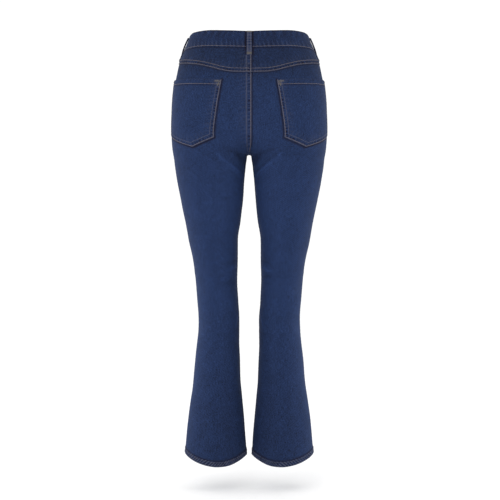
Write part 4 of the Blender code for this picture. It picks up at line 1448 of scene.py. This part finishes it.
class JEANS_OT_pocket_facings(bpy.types.Operator):
    """The cloth inside the front pockets' scoops. Formula: a grid on the form behind the scoop,
    set in by the panel's thickness, with painted shadow under the waistband and behind the scoop's edge."""

    bl_idname = "jeans.pocket_facings"
    bl_label = "Pocket facings"

    def execute(self, context):
        turns = np.linspace(1, 1 + SCOOP_TURNS + FACING_REACH, FACING_COLUMNS + 1)
        high = band_bottom(turns) + TUCK
        low = scoop((turns - FACING_REACH / 2).clip(1, 2)) - FACING_TUCK
        low = np.minimum(low, high - FACING_TUCK)
        height = high + np.linspace(0, 1, FACING_ROWS + 1)[:, None] * (low - high)
        turn = np.broadcast_to(turns, height.shape)
        behind = smooth((scoop(turn.clip(1, 2)) + 4 * MM - height) / (12 * MM) + 0.7)
        lift = groove((turn - 1) * runs(height)[1]) - FACING_DEPTH * behind
        off, _ = scoop_distance(turn, height)
        # painted shadow under the waistband and behind the scoop's edge
        wear_and_shade = -0.8 * near(band_bottom(turn) - height, 0, 2.5) - 0.9 * near(off, 0, 2.5)
        uv = cloth_uv(turn, height) + 0.5
        for name, side in SIDES:
            points, facing = on_form(side, turn, height)
            cloth = (points + facing * lift[..., None], facing, wear_and_shade)
            piece, node = f"denim_pocket_facing_{name}", f"front_pocket_facing_{name}"
            make_sheet(piece, node, cloth, uv, fading_and_light(side, turn, height))
        return {"FINISHED"}


def fly_width(share):
    """Width of the fly from its folded to its sewn edge, at shares of its height: it turns in as
    a J."""
    bend = ((share - 1) * FLY_LENGTH / FLY_CURVE + 1).clip(0, 1)
    return FLY_LAP + FLY_WIDTH * np.sqrt(1 - FLY_NARROWING * bend**2)


def fly_cloth(across, share):
    """Points, facing and wear of the fly, across from its folded edge (0) to its sewn edge (1), with
    painted shade in the dips of its ripples.
    """
    height = band_bottom(2.0) - 0.3 * MM - share * FLY_LENGTH
    from_fold, from_sewn = across * fly_width(share), (1 - across) * fly_width(share)
    one = runs(band_middle(2.0))[1]
    points, facing = on_form(-1, 2 + (FLY_LAP - from_fold) / one, height)
    wave = ripple(share * FLY_LENGTH, 81)
    lift = FLY_CLEARANCE + 1.2 * MM - edge_round(from_fold, 0.9 * MM)
    lift = lift - 1.0 * MM * within(from_sewn, 0, 3) - edge_round((1 - share) * FLY_LENGTH, MM)
    lift = lift - 0.3 * MM * wave * near(from_sewn, 6, 5)
    # a pale folded edge, and painted shade in the dips of the ripples beside the sewn edge
    wear_and_shade = 0.4 * near(from_fold, 0, 1.3) - 0.45 * wave * near(from_sewn, 5, 5)
    return points + facing * lift[..., None], facing, wear_and_shade


class JEANS_OT_fly(bpy.types.Operator):
    """The fly, closed, the left side over the right. Formula: a strip along the centre front whose
    left edge turns in at the bottom as a J."""

    bl_idname = "jeans.fly"
    bl_label = "Fly"

    def execute(self, context):
        across = crowded(FLY_COLUMNS, ((0, 0.08, 1), (1, 0.08, 1)))[None, :]
        share = crowded(FLY_ROWS, ((1, 0.08, 1),))[:, None]
        across, share = np.broadcast_arrays(across, share)
        cloth = fly_cloth(across, share)
        uv = np.stack((across * (FLY_LAP + FLY_WIDTH), share * FLY_LENGTH), -1) + 2.1
        fade_and_light = fading_and_light(-1, np.full(share.shape, 2.0), band_bottom(2.0) - share * FLY_LENGTH)
        make_sheet("denim_fly", "fly", cloth, uv, fade_and_light)
        return {"FINISHED"}


# ------------------------------------------------------------------------------------------ button


class JEANS_OT_button(bpy.types.Operator):
    """The shank button. Formula: a profile of radius and height turned round the line that the
    waistband faces along, with a plain ring on its domed face."""

    bl_idname = "jeans.button"
    bl_label = "Button"

    def execute(self, context):
        centre, out = on_form(1, 2.0, band_middle(2.0))
        side = np.array((-out[1], out[0], 0)) / np.hypot(out[0], out[1])
        radii, heights = context.scene.jeans_button.radius * np.array(BUTTON_PROFILE).T
        angle = 2 * math.pi * np.arange(BUTTON_SEGMENTS)[:, None] / BUTTON_SEGMENTS
        ring = np.cos(angle) * side + np.sin(angle) * np.cross(side, out)
        rings = radii[1:-1, None, None] * ring + heights[1:-1, None, None] * out
        poles = np.outer((heights[0], heights[-1]), out)
        points = np.concatenate((rings.reshape(-1, 3), poles)) + centre + out * BUTTON_LIFT
        piece = new_piece("brass_button", points, *tube_faces(*rings.shape[:2]), (aged_brass(),))
        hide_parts("button")
        return {"FINISHED"}


# ------------------------------------------------------------------------------------------ thread


def resampled(points, facing, at):
    """Points and facings at lengths along a path."""
    run = run_along(points)
    both = np.concatenate((points, facing), -1)
    picked = np.stack([np.interp(at, run, column) for column in both.T], -1)
    return picked[:, :3], unit(picked[:, 3:])


def stitch_row(points, facing, pitch, width):
    """Vertices, quads and triangles of one row of stitches along a path: each stitch is a short
    tube, thinner and lower at both ends, pulled into the cloth where the needle went in."""
    length = run_along(points)[-1]
    count = max(1, round(length / pitch))
    pitch = length / count
    middle = (np.arange(count) + 0.5)[:, None] * pitch
    place, girth, lift = np.array(STITCH_RINGS).T
    half = 0.5 * pitch * STITCH_FILL
    at = (middle + place * half).ravel()
    centre, out = resampled(points, facing, at)
    ahead, behind = (resampled(points, facing, at + nudge)[0] for nudge in (0.2 * MM, -0.2 * MM))
    beside = np.cross(unit(ahead - behind), out)
    angle = 2 * math.pi * (np.arange(STITCH_SIDES) + 0.25)[:, None] / STITCH_SIDES
    ring = np.cos(angle) * beside[:, None] + np.sin(angle) * STITCH_FLATNESS * out[:, None]
    girths = np.tile(girth, count)[:, None, None] * width / 2
    rings = (centre + out * np.tile(lift, count)[:, None] * width)[:, None] + girths * ring
    tips, tip_out = resampled(points, facing, (middle + half * np.array((-1.0, 1.0))).ravel())
    tips = (tips - tip_out * 0.15 * width).reshape(count, 2, 3)
    verts = np.concatenate((rings.reshape(count, -1, 3), tips), 1)
    quads, caps = tube_faces(len(STITCH_RINGS), STITCH_SIDES)
    start = (np.arange(count) * verts.shape[1])[:, None, None]
    return verts.reshape(-1, 3), (quads + start).reshape(-1, 4), (caps + start).reshape(-1, 3)


def sew(name, rows):
    """One object of all the rows of stitches, each (points, facing, kind)."""
    settings = bpy.context.scene.jeans_thread
    sizes = {"topstitch": (settings.pitch, settings.width), **SMALL_STITCHES}
    kinds = [kind for _, _, kind in rows]
    used = sorted(set(kinds))
    made = [stitch_row(points, facing, *sizes[kind]) for points, facing, kind in rows]
    counts = [len(quads) for _, quads, _ in made] + [len(caps) for _, _, caps in made]
    slots = np.repeat([used.index(kind) for kind in kinds] * 2, counts)
    starts = np.cumsum([0] + [len(verts) for verts, _, _ in made])
    verts = np.concatenate([verts for verts, _, _ in made])
    quads = np.concatenate([quads + start for (_, quads, _), start in zip(made, starts)])
    caps = np.concatenate([caps + start for (_, _, caps), start in zip(made, starts)])
    piece = new_piece(name, verts, quads, caps, [thread(kind) for kind in used], slots)


def row_on(cloth, *coordinates, kind="topstitch"):
    """A row of stitches on a cloth function at the given coordinates."""
    points, facing = cloth(*coordinates)[:2]
    return points + facing * THREAD_LIFT, facing, kind


def steps(start, end, length):
    """Even values from start to end for a path of about that length."""
    return np.linspace(start, end, max(3, int(abs(length) / PATH_STEP)))


def centre_rows(part, top, end):
    """Two rows down the centre seam, near the lap's edge and at the far side of its strip."""
    height = steps(top, end, top - end)
    edge, far = (SEAM_ROW - SEAM_LAP) * lap(height) / SEAM_LAP, SEAM_STRIP - SEAM_ROW
    rows = []
    for distance, kind in ((edge, "topstitch"), (far, "sunk row")):
        back, front = (distance / run for run in runs(height))
        cloth = {
            "yoke": (yoke_cloth, -1, back, height),
            "back": (panel_cloth, -1, back, height, "back"),
            "front": (panel_cloth, -1, 2 - front, height, "front"),
        }
        rows.append(row_on(*cloth[part], kind=kind))
    return rows


def inset_path(inset):
    """A path inside a pocket's sides and bottom at an even distance from them, from the top of
    its outer side round to the top of its inner side."""
    ways = unit(np.roll(POCKET_OUTLINE, -1, axis=0) - POCKET_OUTLINE)[1:]
    starts = POCKET_OUTLINE[1:] + inset * turned(ways)
    knots = [starts[0] - (0, ROW_END)]
    for a, u, b, v in zip(starts, ways, starts[1:], ways[1:]):
        knots.append(a + np.linalg.solve(np.stack((u, -v), -1), b - a)[0] * u)
    a, u = starts[-1], ways[-1]
    knots.append(a + u * ((POCKET_OUTLINE[0] - a) @ u - ROW_END))
    pairs = list(zip(knots, knots[1:]))
    parts = [p + steps(0, 1, np.linalg.norm(q - p))[:, None] * (q - p) for p, q in pairs]
    return np.concatenate([part[:-1] for part in parts] + [parts[-1][-1:]])


def pocket_rows(side):
    """Rows round a pocket: two inside its side and bottom edges, and one below its top edge."""
    rows = []
    for inset, kind in ((1.7 * MM, "topstitch"), (9.0 * MM, "sunk row")):
        path = inset_path(inset)
        rows.append(row_on(pocket_cloth, side, path[:, 0] / POCKET_TURN, path[:, 1], kind=kind))
    x0, x1 = POCKET_OUTLINE[:2, 0]
    turn = (x0 + steps(0.02, 0.98, x1 - x0) * (x1 - x0)) / POCKET_TURN
    rows.append(row_on(pocket_cloth, side, turn, pocket_top(turn) - POCKET_HEM_STITCH * MM))
    return rows


def scoop_rows(side):
    """Two rows below the scooped edge of a front pocket."""
    at = np.linspace(SCOOP_START, 1 + SCOOP_TURNS, 400)
    edge = np.stack((at * FOLD_TURN, scoop(at)), -1)
    away = turned(unit(np.gradient(edge, axis=0)))
    rows = []
    for offset in (1.7 * MM, 8.2 * MM):
        x, height = (edge + offset * away).T
        turn = x / FOLD_TURN
        keep = (x > SCOOP_START * FOLD_TURN) & (height < band_bottom(turn))
        rows.append(row_on(panel_cloth, side, turn[keep], height[keep], "front"))
    return rows


def fly_rows():
    """The J: two rows inside the fly's sewn edge."""
    share = steps(0.0, 0.985, FLY_LENGTH)
    return [row_on(fly_cloth, 1 - off / fly_width(share), share) for off in (2.2 * MM, 8.6 * MM)]


def hem_rows(side):
    """A row below the hem's upper edge, on the back panel and on the front one."""
    turn = steps(0, 2, 440 * MM)
    height = hem(turn) + HEM_DEPTH - 2.0 * MM
    halves = (("back", turn <= 1), ("front", turn > 1))
    return [
        row_on(panel_cloth, side, turn[half], height[half], part, kind="sunk row")
        for part, half in halves
    ]


def yoke_rows(side):
    """Two rows above the yoke seam."""
    turn = steps(0, 0.992, 190 * MM)
    return [row_on(yoke_cloth, side, turn, yoke_seam(turn) + up) for up in (1.8 * MM, 9.0 * MM)]


def band_rows():
    """A row along the waistband's lower edge and one down its left end."""
    turn, _, dip = (grid[0] for grid in band_grid())
    low = row_on(either_side, band_cloth, turn, band_bottom(turn) + BAND_STITCH, dip)
    down = steps(BAND_STITCH, BAND_HEIGHT - BAND_STITCH, BAND_HEIGHT)
    at = np.full(down.shape, 2 + (BAND_LAP_OVER - 2.5 * MM) / runs(band_middle(2.0))[1])
    return [low, row_on(band_cloth, -1, at, band_top(at) - down, 0.0)]


def buttonhole_rows():
    """The waistband's buttonhole: short stitches side by side along both sides of a slit that runs
    from the button away from the band's end, and fanned round its far end."""
    one = runs(band_middle(2.0))[1]
    straight = np.arange(0, BUTTONHOLE_LENGTH, BUTTONHOLE_SPACING)
    fan = np.linspace(-math.pi / 2, math.pi / 2, BUTTONHOLE_FAN)
    places = [(x, 0.0, way) for way in (-1, 1) for x in straight]
    places += [(BUTTONHOLE_LENGTH, math.cos(angle), math.sin(angle)) for angle in fan]
    out = BUTTONHOLE_GAP + np.array((-0.1, 0.5, 1.0)) * BUTTONHOLE_STITCH
    rows = []
    for x, way_x, way_up in places:
        turn = 2 - (x + out * way_x) / one
        points, facing, _ = band_cloth(-1, turn, band_middle(2.0) + out * way_up, 0.0)
        rows.append((points + facing * 0.3 * MM, facing, "bar tack"))
    return rows


def tack(cloth, length):
    """A bar tack on three points of cloth: short stitches side by side along the line through
    them, each at right angles to it."""
    points, facing, _ = cloth
    way = unit(points[2] - points[0])
    middle, out = points[1], facing[1]
    stitch = np.array((-1, 0, 1))[:, None] * np.cross(out, way) * TACK_HALF + out * 0.35 * MM
    count = int(length / TACK_SPACING)
    places = (np.arange(count) - (count - 1) / 2) * TACK_SPACING
    return [(middle + way * place + stitch, np.tile(out, (3, 1)), "bar tack") for place in places]


class JEANS_OT_topstitching(bpy.types.Operator):
    """All the topstitching. Formula: paths of known distances from the seams, on the same cloth
    functions as the pieces, with one short tube for each stitch."""

    bl_idname = "jeans.topstitching"
    bl_label = "Topstitching"

    def execute(self, context):
        waist, seam = float(band_bottom(0)), float(yoke_seam(0))
        seat = centre_rows("back", seam - 1 * MM, CROTCH + 5 * MM) + centre_rows("yoke", waist, seam)
        sew("stitching_seat_seam", seat)
        for name, side in SIDES:
            sew(f"stitching_yoke_{name}", yoke_rows(side))
            sew(f"stitching_back_pocket_{name}", pocket_rows(side))
            sew(f"stitching_front_pocket_{name}", scoop_rows(side))
            sew(f"stitching_hem_{name}", hem_rows(side))
        rise = centre_rows("front", float(band_bottom(2)) - FLY_LENGTH, CROTCH + 5 * MM)
        sew("stitching_front_rise", rise)
        sew("stitching_fly", fly_rows())
        sew("stitching_waistband", band_rows())
        sew("stitching_buttonhole", buttonhole_rows())
        self.sew_loops_and_tacks()
        return {"FINISHED"}

    def sew_loops_and_tacks(self):
        """Two rows down each belt loop, and bar tacks on the loops and at the pockets' corners."""
        rows, tacks = [], []
        run = np.array((-1.0, 0.0, 1.0))
        down = steps(0.03, 0.97, LOOP_LENGTH)
        inset = 0.5 - LOOP_STITCH / LOOP_WIDTH
        for _, side, turn_at in LOOPS:
            for across in (-inset, inset):
                rows.append(row_on(loop_cloth, side, turn_at, across, down, kind="sunk row"))
            for end in np.array(LOOP_TACKS):
                tacks += tack(loop_cloth(side, turn_at, 0.05 * run, end), LOOP_WIDTH - 1.5 * MM)
        sew("stitching_belt_loops", rows)
        for side in (-1, 1):
            for turn, height, slope, length in POCKET_TACKS:
                heights = height * MM + slope * 0.01 * run * POCKET_TURN
                tacks += tack(pocket_cloth(side, turn + 0.01 * run, heights), length * MM)
        sew("bar_tacks", tacks)


# ------------------------------------------------------------------------------------------- stage


class JEANS_OT_stage(bpy.types.Operator):
    """A pale floor, soft studio lights and the camera behind the jeans."""

    bl_idname = "jeans.stage"
    bl_label = "Stage"

    def execute(self, context):
        settings = context.scene.jeans_stage
        context.scene.view_settings.view_transform = "Standard"
        self.add_floor(context, settings)
        self.add_lights()
        self.add_camera(context, settings)
        return {"FINISHED"}

    def add_floor(self, context, settings):
        """A round floor just under the hems, and a white surround."""
        material, tree, shader = new_material("studio floor, matt white paint")
        rough = {"Value": object_noise(tree, 3.0, 3.0), "To Min": 0.85, "To Max": 0.95}
        roughness = add_node(tree, "ShaderNodeMapRange", rough).outputs[0]
        paint = {"Base Color": settings.floor, "Roughness": roughness, "Specular IOR Level": 0.0}
        feed(tree, shader, paint)
        angle = 2 * math.pi * np.arange(FLOOR_SIDES) / FLOOR_SIDES
        height = np.full(FLOOR_SIDES, CAD_BOX[0][2] - FLOOR_DROP)
        ring = np.stack((FLOOR_RADIUS * np.cos(angle), FLOOR_RADIUS * np.sin(angle), height), -1)
        mesh = bpy.data.meshes.new("studio_floor")
        mesh.from_pydata(ring.tolist(), [], [list(range(FLOOR_SIDES))])
        mesh.materials.append(material)
        floor = bpy.data.objects.new("studio_floor", mesh)
        bpy.context.collection.objects.link(floor)
        world = bpy.data.worlds.new("studio_surround")
        world.use_nodes = True
        light = {"Color": (1, 1, 1, 1), "Strength": SURROUND_STRENGTH}
        feed(world.node_tree, world.node_tree.nodes["Background"], light)
        context.scene.world = world

    def add_lights(self):
        """Large soft boxes: one behind the camera and above it, one at each side."""
        for name, place, size, power in SOFTBOXES:
            light = bpy.data.lights.new(name, "AREA")
            light.shape = "SQUARE"
            light.size = size
            light.energy = power
            lamp = bpy.data.objects.new(name, light)
            lamp.location = place
            x, y, z = np.array(AIM) - np.array(place)
            lamp.rotation_euler = (math.atan2(math.hypot(x, y), -z), 0, math.atan2(y, x) - math.pi / 2)
            bpy.context.collection.objects.link(lamp)

    def add_camera(self, context, settings):
        """A level camera behind the jeans, looking along +Y."""
        camera = bpy.data.cameras.new("camera")
        camera.lens = settings.lens
        camera.sensor_width = 36
        camera.clip_end = 50
        camera.dof.use_dof = False
        ob = bpy.data.objects.new("camera", camera)
        ob.location = (settings.aside, -settings.distance, settings.height)
        ob.rotation_euler = (math.pi / 2, 0, 0)
        bpy.context.collection.objects.link(ob)
        context.scene.camera = ob


# --------------------------------------------------------------------------------- the add-on itself

GROUPS = {
    "jeans_cloth": JeansCloth,
    "jeans_thread": JeansThread,
    "jeans_button": JeansButton,
    "jeans_stage": JeansStage,
}
OPERATORS = (
    JEANS_OT_stage,
    JEANS_OT_panels,
    JEANS_OT_yokes,
    JEANS_OT_waistband,
    JEANS_OT_back_pockets,
    JEANS_OT_belt_loops,
    JEANS_OT_pocket_facings,
    JEANS_OT_fly,
    JEANS_OT_button,
    JEANS_OT_topstitching,
)


class JEANS_PT_panel(bpy.types.Panel):
    """Lists the settings and the pieces in the sidebar."""

    bl_idname = "JEANS_PT_panel"
    bl_label = "Jeans"
    bl_space_type = "VIEW_3D"
    bl_region_type = "UI"
    bl_category = "Jeans"

    def draw(self, context):
        for group in GROUPS:
            settings = getattr(context.scene, group)
            box = self.layout.box()
            for name in type(settings).__annotations__:
                box.prop(settings, name)
        for operator in OPERATORS:
            self.layout.operator(operator.bl_idname)


def register():
    """Adds the settings to the scene, and the operators and the panel."""
    for group, kind in GROUPS.items():
        bpy.utils.register_class(kind)
        setattr(bpy.types.Scene, group, bpy.props.PointerProperty(type=kind))
    for kind in (*OPERATORS, JEANS_PT_panel):
        bpy.utils.register_class(kind)


def unregister():
    """Takes away what register added."""
    for kind in (JEANS_PT_panel, *reversed(OPERATORS)):
        bpy.utils.unregister_class(kind)
    for group, kind in GROUPS.items():
        delattr(bpy.types.Scene, group)
        bpy.utils.unregister_class(kind)


def main():
    """Registers the add-on and makes everything, in order."""
    register()
    for operator in OPERATORS:
        getattr(bpy.ops.jeans, operator.bl_idname.split(".")[1])()


if __name__ == "__main__":
    main()
